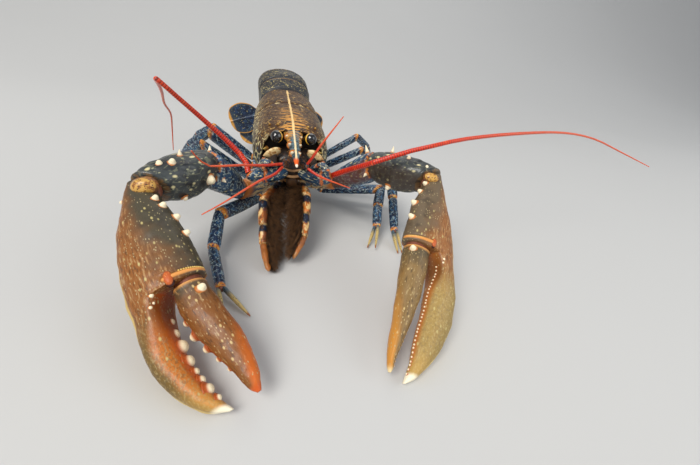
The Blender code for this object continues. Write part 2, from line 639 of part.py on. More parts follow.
def abdomen_path():
    """Boundary points on the back line and the headings in the planes between segments."""
    y, z = ABDOMEN_START
    points = [np.array([0.0, y, z])]
    headings = [ABDOMEN[0][1]]
    for i, (length, heading, *rest) in enumerate(ABDOMEN):
        turn = math.radians(heading)
        points.append(points[-1] + length * np.array([0.0, math.cos(turn), math.sin(turn)]))
        following = ABDOMEN[i + 1][1] if i + 1 < len(ABDOMEN) else heading
        headings.append((heading + following) / 2)
    headings[0] = 0.0
    return points, headings


def swing(data):
    """Moves a mesh of the tail sideways, more towards the end of the tail."""
    points, headings = abdomen_path()
    start = points[0]
    reach = points[-1][1] - start[1]
    for vertex in data.vertices:
        share = (vertex.co.y / MM - start[1]) / reach
        vertex.co.x -= TAIL_SWING * MM * min(max(share, 0.0), 1.0) ** 2
    return data


def swimmerets(i, middle, ahead, upward, half_width, depth):
    """The two paired blades under one tail segment."""
    length, wide, thick = SWIMMERETS[i]
    blades = []
    for side in (-1, 1):
        for place, spread in ((0.62, 0.5), (0.34, 0.1)):
            root = middle + np.array([side * place * half_width, 0, 0]) - upward * (depth - 5.0)
            down = unit(-upward + ahead * 0.25 + np.array([side * spread, 0, 0]))
            across = unit(np.array([1.0, 0, 0]) - down[0] * down)
            rows = [(0.0, 0.45, 1.5), (0.35, 0.55, 1.2), (0.7, 1.0, 1.0), (1.0, 0.4, 0.8)]
            rings = [ring(root + down * share * (length + 4.0), across, np.cross(across, down),
                          oval(6, -wide * w, wide * w, thick * t, thick * t, 1.8)) for share, w, t in rows]
            blades.append(add("swimmeret", swing(loft(rings))))
    return blades


def tergite(half_width, depth, pleura):
    """Outline of one tail ring: a dome with a pleura hanging on each side of a vaulted belly."""
    dome = 0.62 * depth
    arc = [math.radians(angle) for angle in (0, 20, 42, 66, 90, 114, 138, 160, 180)]
    points = [(half_width * math.cos(a), -dome + dome * math.sin(a) ** 0.9) for a in arc]
    left = [(-half_width * 0.99, -depth), (-half_width * 0.93, -pleura), (-half_width * 0.80, -depth),
            (-half_width * 0.5, -depth + 2.0)]
    right = [(-x, y) for x, y in reversed(left)]
    return np.array(points + left + right)


def make_abdomen():
    points, headings = abdomen_path()
    for i, (length, heading, half_width, depth, pleura) in enumerate(ABDOMEN):
        before = ABDOMEN[i - 1] if i else ABDOMEN[0]
        after = ABDOMEN[i + 1] if i + 1 < len(ABDOMEN) else ABDOMEN[i]
        front_width = (before[2] + half_width) / 2 - 0.6
        rear_width = (after[2] + half_width) / 2
        front_depth = (before[3] + depth) / 2 - 1.0
        rear_depth = (after[3] + depth) / 2
        rows = [(0.0, front_width, front_depth, front_depth + 1.0), (0.3, half_width, depth, depth + 3.0),
                (0.62, half_width + 0.2, depth, pleura),
                (0.85, rear_width + 0.3, rear_depth, rear_depth + 3.0),
                (1.0, rear_width, rear_depth, rear_depth + 0.8)]
        rings = []
        for share, width, deep, lobe in rows:
            angle = math.radians(headings[i] + (headings[i + 1] - headings[i]) * share)
            ahead = np.array([0.0, math.cos(angle), math.sin(angle)])
            upward = np.array([0.0, -math.sin(angle), math.cos(angle)])
            along = points[i] + (points[i + 1] - points[i]) * share
            trim = JOINT_GAP / 2 * (1 if share == 0 else -1 if share == 1 else 0)
            rings.append(ring(along + ahead * trim, (1, 0, 0), upward, tergite(width, deep, lobe)))
        segment = add(f"abdomen_{i + 1}", swing(loft(rings)), SHELL_DARK)
        if i in SWIMMERETS:
            turn = math.radians((headings[i] + headings[i + 1]) / 2)
            ahead = np.array([0.0, math.cos(turn), math.sin(turn)])
            upward = np.array([0.0, -math.sin(turn), math.cos(turn)])
            fuse(segment, swimmerets(i, (points[i] + points[i + 1]) / 2, ahead, upward, half_width, depth))


def blade(name, base, angle_down, turn_out, length, keys, look):
    """A tail blade: rows of share, half width and half thickness along a line in an upright plane."""
    down = math.radians(angle_down)
    along = np.array([turn_out * math.cos(down), 0.0, -math.sin(down)])
    across = np.array([turn_out * math.sin(down), 0.0, math.cos(down)])
    rings = []
    for share, half_width, half_thick in keys:
        rings.append(ring(np.asarray(base, float) + along * share * length, across, (0, 1, 0),
                          oval(8, -half_width, half_width, half_thick, half_thick, 1.7)))
    fan = add(name, swing(loft(rings)), look)
    rib = [ring(np.asarray(base, float) + along * share * length, across, (0, 1, 0),
                oval(6, -thick, thick, keys[-1][2] + thick, keys[-1][2] + thick, 2.0))
           for share, thick in ((0.16, 1.2), (0.5, 1.0), (0.93, 0.5))]
    return fuse(fan, [add("rib", swing(loft(rib)))])


def make_tail_fan():
    points, headings = abdomen_path()
    end = points[-1]
    keys = [(0.0, 0.62, 1.9), (0.1, 0.86, 1.9), (0.45, 1.0, 1.7), (0.8, 0.86, 1.4), (0.95, 0.66, 1.1),
            (1.0, 0.40, 0.8)]
    blade("telson", end + np.array([0, -3.0, -1.5 * JOINT_GAP]), 90.0, 1, TELSON_LENGTH,
          [(share, width * TELSON_HALF_WIDTH, thick) for share, width, thick in keys], SHELL_DARK)
    keys = [(0.0, 0.20, 2.0), (0.12, 0.34, 2.0), (0.32, 0.80, 1.8), (0.6, 1.0, 1.5), (0.85, 0.86, 1.2),
            (0.96, 0.56, 1.0), (1.0, 0.26, 0.8)]
    for side, tag in ((1, "l"), (-1, "r")):
        for kind, (length, half_width, down, forward) in (("exopod", EXOPOD), ("endopod", ENDOPOD)):
            start = UROPOD_BASE[kind]
            base = end + np.array([side * start[0], -forward, start[1]])
            blade(f"uropod_{kind}_{tag}", base, down, side, length,
                  [(share, width * half_width, thick) for share, width, thick in keys], SHELL_BLUE)


def make_eyes():
    for side, tag in ((1, "l"), (-1, "r")):
        centre = np.array([side * EYE_CENTRE[0], EYE_CENTRE[1], EYE_CENTRE[2]])
        root = np.array([side * 10.0, CARAPACE_FRONT_Y - JOINT_GAP, 74.0])
        axis = unit(centre - root)
        length = np.linalg.norm(centre - root) + EYE_RADIUS
        hint = unit(np.cross(axis, (0, 0, 1)))
        lift = np.cross(hint, axis)
        front = (np.array([0.0, CARAPACE_FRONT_Y, 0.0]), np.array([0.0, -1.0, 0.0]))
        rings = []
        for k, (share, radius) in enumerate(EYE_PROFILE):
            size = radius * EYE_RADIUS
            points = ring(root + axis * share * length, hint, lift, oval(10, -size, size, size, size, 2.0))
            rings.append(hold_back(points, front, axis, JOINT_GAP + 0.2 * k, False))
        add(f"eye_{tag}", loft(rings), EYE_BLACK)


def make_feelers():
    for side, tag in ((1, "l"), (-1, "r")):
        base = [(side * 12.0, -7.6, 51.0), (side * 22.0, -13.5, 50.5), ANTENNA[side][0]]
        end = halving_plane(base[2], np.subtract(base[2], base[1]), np.subtract(ANTENNA[side][1], base[2]))
        keys = [[(0.0, 5.2, 5.4), (0.5, 6.2, 6.4), (1.0, 5.0, 5.2)],
                [(0.0, 5.0, 5.2), (0.5, 4.9, 4.9), (1.0, 2.4, 2.4)]]
        start = (np.array([0.0, EPISTOME[-1][0] - JOINT_GAP, 0.0]), np.array([0.0, -1.0, 0.0]))
        rings = limb_rings(base, keys, (0, 0, 1), 8, start, end)
        peduncle = add(f"antenna_base_{tag}", loft(rings), SHELL_BLUE)
        scale = [(side * 13.5, -10.0, 57.0), (side * 19.0, -15.0, 62.0), (side * 24.0, -23.5, 60.0)]
        keys = [[(0.0, 1.6, 3.6), (0.6, 1.5, 5.2), (1.0, 1.4, 4.8)],
                [(0.0, 1.4, 4.8), (0.6, 1.1, 3.0), (1.0, 0.5, 0.6)]]
        fuse(peduncle, [add("scale", loft(limb_rings(scale, keys, (0.3 * side, -0.3, 1.0), 6)))])
        tube(f"antenna_{tag}", ANTENNA[side], ANTENNA_RADII, 6, FEELER_RED, ANTENNA_STEPS[side], end)
        joint = np.array([side * ANTENNULE_JOINT[0], ANTENNULE_JOINT[1], ANTENNULE_JOINT[2]])
        stalk = [(side * 4.6, EPISTOME[-1][0] - JOINT_GAP, 59.5), (side * 5.6, -14.0, 61.0), joint]
        keys = [[(0.0, 2.8, 2.8), (1.0, 2.6, 2.6)], [(0.0, 2.6, 2.6), (0.85, 2.2, 2.4), (1.0, 1.4, 2.2)]]
        body = add(f"antennule_{tag}", loft(limb_rings(stalk, keys, (1, 0, 0), 8, start)), FEELER_RED)
        whips = []
        for k, points in enumerate(ANTENNULE[side]):
            root = np.asarray(points[0], float)
            inward = unit(joint - np.array([side * 5.6, -14.0, 61.0]))
            path = [root - inward * 2.0] + list(points[1:])
            whips.append(tube(f"whip_{tag}_{k}", path, ANTENNULE_RADII, 5, None, 12))
        fuse(body, whips)


def make_maxillipeds():
    for side, tag in ((1, "l"), (-1, "r")):
        points = MAXILLIPED[side]
        hint = bend_normal(points[0], points[1], points[3])
        keys = [[(0.0, 3.6, 4.4), (0.5, 3.8, 4.8), (0.93, 3.4, 4.2), (1.0, 3.0, 3.6)],
                [(0.0, 3.0, 3.6), (0.15, 3.3, 4.1), (0.85, 3.2, 3.9), (1.0, 2.8, 3.3)],
                [(0.0, 2.8, 3.3), (0.5, 3.0, 3.5), (1.0, 2.4, 2.9)],
                [(0.0, 2.4, 2.9), (0.5, 2.1, 2.5), (0.85, 1.5, 1.8), (1.0, 0.6, 0.7)]]
        start = (np.array([0.0, points[0][1], 0.0]), np.array([0.0, -1.0, 0.0]))
        add(f"maxilliped_{tag}", loft(limb_rings(points, keys, hint, 8, start)), CREAM)


def beside_sternum(point, side):
    """A limb's root, moved to just outside the edge of the sternum."""
    half_width = eased([(y, width) for y, width, bottom in STERNUM], point[1])[0]
    return np.array([side * (half_width + JOINT_GAP), point[1], point[2]], float)


def make_cheliped(name, tag, joints, roll, palm, dactyl, hinge, slant, dactyl_tip, bulk, forms):
    side = 1 if tag == "l" else -1
    joints = [np.array(joint) for joint in joints]
    joints[0] = beside_sternum(joints[0], side)
    along, across, normal = claw_frame(joints, roll, side)
    root_plane = (joints[0], np.array([side, 0.0, 0.0]))
    elbow = halving_plane(joints[2], joints[2] - joints[1], joints[3] - joints[2])
    wrist = halving_plane(joints[3], joints[3] - joints[2], along)
    hint = bend_normal(joints[1], joints[2], joints[3])
    keys = [[(share, width * bulk, height * bulk) for share, width, height in rows] for rows in MERUS]
    rings = limb_rings(joints[:3], keys, hint, 10, root_plane, elbow, LIMB_POWER)
    merus = add(f"{name}_merus_{tag}", loft(rings), SHELL_BLUE)
    fuse(merus, [knob(*limb_spot(joints[1], joints[2], keys[1], hint, share, angle), radius, height)
                 for share, angle, radius, height in forms["merus"]])
    keys = [[(share, width * bulk, height * bulk) for share, width, height in CARPUS]]
    rings = limb_rings(joints[2:4], keys, hint, 12, elbow, wrist, LIMB_POWER)
    carpus = add(f"{name}_carpus_{tag}", loft(rings), SHELL_DARK)
    fuse(carpus, [knob(*limb_spot(joints[2], joints[3], keys[0], hint, share, angle), radius, height)
                  for share, angle, radius, height in forms["carpus"]])
    length = np.linalg.norm(joints[4] - joints[3])
    frame = (joints[3], along, across, normal, length)
    shares = [row[0] for row in palm]
    rings = blade_rings(*frame, palm, shares, 14, wrist, (hinge[0] / length, slant))
    body = add(f"{name}_palm_{tag}", loft(rings), CLAW_RUST)
    pieces = [knob(*blade_spot(*frame, palm, share, angle), radius, height)
              for share, angle, radius, height in forms["palm"]]
    if "palm_beads" in forms:
        first, last, count, angle, radius = forms["palm_beads"]
        pieces += [knob(*blade_spot(*frame, palm, share, angle), radius, radius, 5)
                   for share in np.linspace(first, last, count)]
    fuse(body, pieces)
    base = joints[3] + along * hinge[0] + across * hinge[1]
    tip = joints[3] + along * dactyl_tip[0] + across * dactyl_tip[1]
    onward = unit(tip - base)
    crosswise = unit(across - (across @ onward) * onward)
    frame = (base, onward, crosswise, normal, np.linalg.norm(tip - base))
    shares = [row[0] for row in dactyl]
    rings = blade_rings(*frame, dactyl, shares, 12, (base, unit(along - normal * slant)), (0.0, slant))
    body = add(f"{name}_dactyl_{tag}", loft(rings), CLAW_RUST)
    pieces = [knob(*blade_spot(*frame, dactyl, share, angle), radius, height)
              for share, angle, radius, height in forms["dactyl"]]
    if "dactyl_beads" in forms:
        first, last, count, angle, radius = forms["dactyl_beads"]
        pieces += [knob(*blade_spot(*frame, dactyl, share, angle), radius, radius, 5)
                   for share in np.linspace(first, last, count)]
    fuse(body, pieces)


def make_legs():
    for leg, points in LEGS.items():
        pair, tag = leg.split("_")
        side = 1 if tag == "l" else -1
        root, hip, knee, wrist, finger, tip = [np.array(point, float) for point in points]
        root = beside_sternum(root, side)
        bulk = LEG_THICKNESS[pair]
        pincer = leg in FIXED_TIP
        hint = bend_normal(hip, knee, wrist)
        hint = hint if hint[1] > 0 else -hint
        scaled = {part: [[(share, width * bulk, height * bulk) for share, width, height in rows]
                         for rows in keys] for part, keys in LEG_KEYS.items()}
        knee_plane = halving_plane(knee, knee - hip, wrist - knee)
        onward = unit(finger - wrist)
        palm_end = (finger, onward) if pincer else halving_plane(finger, finger - wrist, tip - finger)
        root_plane = (root, np.array([side, 0.0, 0.0]))
        upper = limb_rings([root, hip, knee], scaled["upper"], hint, 8, root_plane, knee_plane)
        add(f"leg_{pair}_upper_{tag}", loft(upper), SHELL_BLUE)
        lower = limb_rings([knee, wrist, finger], scaled["lower"], hint, 8, knee_plane, palm_end)
        lower = add(f"leg_{pair}_lower_{tag}", loft(lower), SHELL_BLUE)
        if pincer:
            fixed_tip = np.array(FIXED_TIP[leg], float)
            apart = tip - fixed_tip
            apart = unit(apart - (apart @ onward) * onward)
            offset = apart * PINCER_SPREAD * bulk
            fixed = limb_rings([finger - onward * 4.0 - offset, fixed_tip], scaled["finger"], apart, 8)
            fuse(lower, [add("fixed finger", loft(fixed))])
            toe = limb_rings([finger + offset, tip], scaled["finger"], apart, 8, palm_end)
        else:
            toe = limb_rings([finger, tip], scaled["toe"], hint, 8, palm_end)
        add(f"leg_{pair}_toe_{tag}", loft(toe), CREAM)


def centre_on_origin(root, objects):
    """Moves the root so that the middle of the box's lower face is the origin."""
    bpy.context.view_layer.update()
    corners = np.array([obj.matrix_world @ vertex.co for obj in objects for vertex in obj.data.vertices])
    low = corners.min(axis=0)
    high = corners.max(axis=0)
    root.location = (-(low[0] + high[0]) / 2, -(low[1] + high[1]) / 2, -low[2])


clear_scene()
LOBSTER = collection("lobster")
make_carapace()
make_sternum()
make_epistome()
make_abdomen()
make_tail_fan()
make_eyes()
make_feelers()
make_maxillipeds()
make_cheliped("crusher", "r", CRUSHER_JOINTS, CRUSHER_ROLL, CRUSHER_PALM, CRUSHER_DACTYL, CRUSHER_HINGE,
              CRUSHER_SLANT, CRUSHER_DACTYL_TIP, 1.0,
              {"merus": CRUSHER_MERUS_SPINES, "carpus": CRUSHER_CARPUS_SPINES,
               "palm": CRUSHER_PALM_KNOBS + CRUSHER_PALM_TEETH,
               "dactyl": CRUSHER_DACTYL_KNOBS + CRUSHER_DACTYL_TEETH})
make_cheliped("cutter", "l", CUTTER_JOINTS, CUTTER_ROLL, CUTTER_PALM, CUTTER_DACTYL, CUTTER_HINGE,
              CUTTER_SLANT, CUTTER_DACTYL_TIP, 0.95,
              {"merus": CUTTER_MERUS_SPINES, "carpus": CUTTER_CARPUS_SPINES, "palm": CUTTER_PALM_KNOBS,
               "dactyl": CUTTER_DACTYL_KNOBS, "palm_beads": CUTTER_PALM_BEADS,
               "dactyl_beads": CUTTER_DACTYL_BEADS})
make_legs()
root = bpy.data.objects.new("root", None)
LOBSTER.objects.link(root)
pieces = [obj for obj in LOBSTER.objects if obj.type == "MESH"]
for piece in pieces:
    piece.parent = root
centre_on_origin(root, pieces)
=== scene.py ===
import math
from functools import partial, reduce

import bpy
import numpy as np
from mathutils import Matrix, Vector


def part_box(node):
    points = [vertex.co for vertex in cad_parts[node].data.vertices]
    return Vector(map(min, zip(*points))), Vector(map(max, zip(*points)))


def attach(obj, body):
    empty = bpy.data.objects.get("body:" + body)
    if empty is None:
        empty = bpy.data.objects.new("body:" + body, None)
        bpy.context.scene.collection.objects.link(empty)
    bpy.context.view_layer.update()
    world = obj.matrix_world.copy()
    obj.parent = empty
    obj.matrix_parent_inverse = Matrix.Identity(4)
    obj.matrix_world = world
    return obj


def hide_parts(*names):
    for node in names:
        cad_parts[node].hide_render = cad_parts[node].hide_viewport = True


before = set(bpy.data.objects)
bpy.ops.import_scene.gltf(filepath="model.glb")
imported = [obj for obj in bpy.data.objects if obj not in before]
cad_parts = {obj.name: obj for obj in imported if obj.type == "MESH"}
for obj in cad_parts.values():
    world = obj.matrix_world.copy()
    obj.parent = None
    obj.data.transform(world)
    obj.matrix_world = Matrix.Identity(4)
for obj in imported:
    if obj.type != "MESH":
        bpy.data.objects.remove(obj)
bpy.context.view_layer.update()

# Places and sizes are in millimetres in the animal's own frame, as in the part's source:
# +X is its left side, -Y is the way it faces, +Z is up and the floor is z = 0.
MM = 0.001
X, Y, Z = np.eye(3)
SIDES = ((1, "l"), (-1, "r"))
PAINTS = ("along", "cross", "face", "knob", "soft", "tint")
JOINT_GAP = 0.3
LIFT = 0.02
STERNUM_FRONT_Y = 16.0

# Camera: place, headings in degrees, lens in pixels of the picture's width
CAMERA_PLACE = Vector((-19.4, -237.1, 134.9))
CAMERA_YAW = 17.06
CAMERA_PITCH = 29.2
CAMERA_ROLL = 9.1
LENS_PX = 320.0
PHOTO_WIDTH_PX = 700.0
SENSOR = 36.0

# Studio, in metres: a floor that curves up behind, and lamps with place, size, power and colour
FLOOR_HALF_WIDTH = 6.0
FLOOR_FRONT = -4.0
CURVE_START = 0.6
CURVE_RADIUS = 2.4
CURVE_STEPS = 24
BACKDROP_TOP = 6.0
LAMP_TARGET = (0, 0, 0.05)
LAMPS = [("key light", (-1.5, -1.5, 2.3), 1.5, 84.0, (1.0, 0.97, 0.93)),
         ("fill light", (2.0, -1.2, 1.4), 2.0, 22.0, (0.93, 0.96, 1.0)),
         ("rim light", (0.3, 2.4, 2.8), 2.0, 16.0, (1.0, 1.0, 1.0))]
ROOM_COLOUR = (0.9, 0.93, 1.0, 1.0)
ROOM_STRENGTH = 0.45
PAPER_DARK = (0.54, 0.54, 0.525, 1.0)
PAPER_PALE = (0.57, 0.57, 0.555, 1.0)

# Colours, red, green and blue from 0 to 255
PEARL = (246, 232, 196)
PEARL_ROOT = (190, 112, 46)
SLATE = (72, 66, 50)
RUST = (140, 84, 28)
OLIVE = (110, 84, 34)
FLAME = (196, 62, 14)
GOLD = (208, 164, 84)
CREAM = (240, 218, 160)
INK = (20, 14, 10)
DEEP_BLUE = (20, 46, 78)
CHESTNUT = (68, 42, 20)
SKIN_PINK = (150, 92, 68)

# Carapace sections: y, half width, height of the widest line, top, lower edge
CARAPACE = [
    (5.0, 23.5, 58.0, 79.6, 42.5),
    (16.0, 28.6, 57.0, 83.0, 40.5),
    (40.0, 30.4, 58.0, 86.2, 40.0),
    (63.0, 31.0, 59.0, 88.4, 38.0),
    (66.0, 30.4, 59.0, 87.4, 37.5),
    (69.0, 31.0, 59.0, 88.9, 37.0),
    (92.0, 31.0, 60.0, 91.4, 36.0),
    (112.0, 29.6, 61.0, 92.8, 36.0),
    (121.0, 28.2, 62.0, 92.2, 39.0),
]
CARAPACE_POWER = 2.5
ROSTRUM_TIP = (0.0, -34.5, 65.5)
ROSTRUM_BASE = (0.0, 22.0, 79.5)
ROSTRUM_ARCH = 5.0
ROSTRUM = [(0.0, 9.0, 3.0, 5.0), (0.35, 6.4, 3.2, 4.0), (0.6, 4.2, 2.8, 3.0), (0.8, 2.6, 2.2, 2.2),
           (1.0, 0.7, 0.6, 0.6)]
ROSTRUM_TEETH = [(0.40, 3.8), (0.60, 4.2), (0.775, 3.8)]
CARAPACE_SPINES = [((11.0, 12.0, 81.0), (0.6, -3.4, 1.6), 1.2), ((19.5, 6.6, 64.0), (2.4, -5.6, 1.2), 1.7),
                   ((17.0, 14.0, 80.2), (0.5, -2.4, 1.3), 0.9)]
# The groove across the back: its place there, its sweep forwards at the sides, the sweep's power, half width
GROOVE_Y = 66.0
GROOVE_SWEEP = 34.0
GROOVE_POWER = 2.2
GROOVE_HALF_WIDTH = 1.8
REAR_FURROW_Y = 116.6
# Rings of the hollow of the face: share of the front ring's size, depth, and how dark its painted shade is
FACE_HOLLOW = [(0.86, 3.4, 1.0), (0.90, 2.6, 1.0), (0.935, 0.9, 0.8), (0.965, 0.1, 0.1)]
EYE_CENTRE = (12.2, -0.5, 75.3)
EYE_ROOT = (10.0, CARAPACE[0][0] - JOINT_GAP, 74.0)
EYE_RADIUS = 4.6
EYE_PROFILE = [(0.0, 0.62), (0.12, 0.62), (0.22, 0.82), (0.4, 0.98), (0.58, 1.0), (0.76, 0.86), (0.92, 0.5),
               (1.0, 0.05)]
STERNUM_TOP_Z = 35.7
STERNUM = [(16.0, 6.5, 31.0), (30.0, 8.5, 28.0), (60.0, 11.0, 27.0), (100.0, 12.5, 27.0), (117.0, 11.0, 29.0)]
STERNUM_RIB = 0.7
STERNUM_RIB_SPACING = 17.0
EPISTOME = [(4.7, 19.0, 68.0, 43.5), (0.0, 18.0, 67.0, 44.0), (-5.0, 15.0, 65.0, 45.0),
            (-7.5, 11.0, 63.0, 47.0)]
JAWS = [(4.7, 4.0, 48.0, 38.0), (0.0, 4.4, 48.0, 37.0), (-4.0, 4.0, 48.0, 38.5), (-6.5, 2.4, 48.0, 41.5)]
# Pale rolls of skin above and below the mouth
LIP = [(-9.5, -6.9, 51.5), (-5.0, -7.6, 49.2), (0.0, -7.8, 48.4), (5.0, -7.6, 49.4), (9.5, -6.9, 51.8)]
BROW = [(-8.0, -7.4, 55.0), (-4.0, -7.8, 53.6), (0.0, -8.0, 53.2), (4.0, -7.8, 53.8), (8.0, -7.4, 55.4)]

# Abdomen: dorsal length, heading above level in degrees, half width, depth, pleura depth
ABDOMEN_START = (121.3, 91.0)
ABDOMEN = [
    (19.0, 34.0, 25.5, 30.0, 33.0),
    (24.0, 16.0, 26.5, 32.0, 44.0),
    (24.0, -6.0, 26.0, 31.0, 43.0),
    (22.0, -32.0, 25.0, 29.0, 40.0),
    (20.0, -58.0, 23.5, 26.0, 36.0),
    (20.0, -88.0, 20.5, 21.0, 25.0),
]
TELSON_LENGTH = 51.0
TELSON_HALF_WIDTH = 15.0
TAIL_SWING = 8.0
UROPOD_BASE = {"exopod": (17.5, -4.8), "endopod": (11.5, -3.4)}
# Tail blades: length, half width, angle down, place forwards; rows of share, width, half thickness
UROPODS = {"exopod": (42.0, 18.5, 19.0, 13.2), "endopod": (49.0, 14.5, 55.0, 8.6)}
UROPOD_ROWS = [(0.0, 0.20, 2.0), (0.12, 0.34, 2.0), (0.32, 0.80, 1.8), (0.6, 1.0, 1.5), (0.85, 0.86, 1.2),
               (0.96, 0.56, 1.0), (1.0, 0.26, 0.8)]
TELSON_ROWS = [(0.0, 0.62, 1.9), (0.1, 0.86, 1.9), (0.45, 1.0, 1.7), (0.8, 0.86, 1.4), (0.95, 0.66, 1.1),
               (1.0, 0.40, 0.8)]
# Paddles under the tail rings: length, half width, half thickness
SWIMMERETS = {1: (14.0, 4.2, 0.6), 2: (12.0, 4.2, 0.6), 3: (9.0, 3.8, 0.6), 4: (7.0, 3.4, 0.6)}

LIMB_POWER = 2.4
SLANT_REACH = 0.4
STEP_POWER = 4.5
KNOB_SUNK = 0.35

# Large claws. joints is the line of the limb, roll the turn of the blade about its own axis, step where the
# fixed finger begins. hinge and tip of the movable finger are places along and across the blade. palm and
# dactyl have share of the length, outer edge, inner edge, half thickness and the section's power.
# Knobs, teeth and spines have share, angle round, radius, height, and rows of beads first share, last share,
# count, angle, radius, tint. Angle 0 is the inner edge, 90 the upper face and 180 the outer edge.
# condyle, the movable finger's hinge, has share, angle, half width, half length, height. plate, the golden
# hinge plate at the wrist, has place, direction out, long axis, half length, half width, height.
CRUSHER = {
    "joints": [(-15.0, 33.0, 31.0), (-39.0, 11.0, 28.0), (-56.5, -20.0, 56.0), (-81.5, -53.0, 54.5),
               (-30.5, -156.0, 5.5)],
    "roll": 28.0,
    "bulk": 1.0,
    "step": 0.51,
    "palm": [(0.00, -10.0, 3.0, 7.0, 2.2), (0.05, -13.0, 3.6, 8.0, 2.2), (0.12, -17.0, 5.2, 9.6, 2.2),
             (0.22, -22.0, 7.2, 11.4, 2.2), (0.33, -24.8, 8.6, 12.4, 2.2), (0.43, -26.2, 9.6, 12.4, 2.2),
             (0.495, -26.2, 9.9, 12.0, 2.3), (0.51, -26.0, 9.7, 11.8, 2.4),
             (0.525, -25.8, -9.0, 11.2, 3.2), (0.60, -25.0, -12.0, 10.2, 3.0),
             (0.68, -25.0, -12.0, 9.2, 2.7), (0.77, -23.6, -10.7, 8.2, 2.4), (0.86, -19.7, -8.1, 6.8, 2.3),
             (0.93, -14.0, -5.0, 4.9, 2.2), (0.98, -7.8, -1.4, 2.9, 2.2), (1.00, -2.4, -0.4, 1.1, 2.2)],
    "hinge": (66.5, 2.2),
    "slant": 0.15,
    "tip": (124.5, 11.0),
    "dactyl": [(0.00, -8.0, 6.0, 8.4, 2.3), (0.10, -9.4, 6.2, 8.6, 2.3), (0.20, -10.2, 6.6, 8.2, 2.3),
               (0.38, -9.7, 6.9, 7.3, 2.2), (0.56, -7.4, 7.2, 6.2, 2.2), (0.73, -5.0, 6.1, 5.0, 2.2),
               (0.88, -3.4, 4.4, 3.6, 2.2), (0.96, -2.3, 2.3, 2.1, 2.2), (1.00, -0.8, 1.0, 1.0, 2.2)],
    "palm_knobs": [(0.11, 40.0, 1.55, 2.3), (0.155, 28.0, 1.65, 2.4), (0.215, 8.0, 1.8, 2.6),
                   (0.315, 5.0, 1.7, 2.6), (0.07, 155.0, 1.1, 1.4)],
    "palm_teeth": [(0.62, -4.0, 1.6, 1.1), (0.67, -4.0, 2.2, 1.6), (0.725, -4.0, 3.3, 2.8),
                   (0.785, -4.0, 2.8, 2.1), (0.83, -2.0, 1.8, 1.4), (0.865, 0.0, 1.9, 1.5),
                   (0.905, 4.0, 2.5, 1.9), (0.945, 6.0, 1.5, 1.2)],
    "palm_beads": [(0.33, 0.80, 36, 178.0, 0.42, 4.0)],
    "dots": [(0.528, 50.0, 0.9, 0.6), (0.553, 36.0, 0.6, 0.4), (0.566, 50.0, 0.7, 0.5)],
    "condyle": (0.512, 74.0, 2.2, 3.9, 1.5),
    "dactyl_knobs": [(0.13, 46.0, 1.8, 2.4)],
    "dactyl_teeth": [(0.24, 184.0, 1.9, 1.8), (0.37, 184.0, 2.5, 2.6), (0.51, 184.0, 2.1, 2.2),
                     (0.63, 184.0, 1.5, 1.5), (0.74, 184.0, 1.2, 1.1)],
    "dactyl_beads": [],
    "merus_spines": [(0.93, -125.0, 2.0, 6.2), (0.87, 10.0, 1.6, 3.2)],
    "carpus_spines": [(0.235, 0.0, 2.8, 3.7), (0.475, -96.0, 1.6, 3.6), (0.68, -80.0, 1.8, 2.5),
                      (0.8, -98.0, 1.7, 2.0), (0.9, -146.0, 1.4, 1.7), (0.67, 32.0, 1.5, 1.6)],
    "plate": ((-81.6, -60.8, 58.6), (0.0, -0.9, 0.43), (1.0, 0.2, 0.15), 6.4, 4.8, 3.2),
}
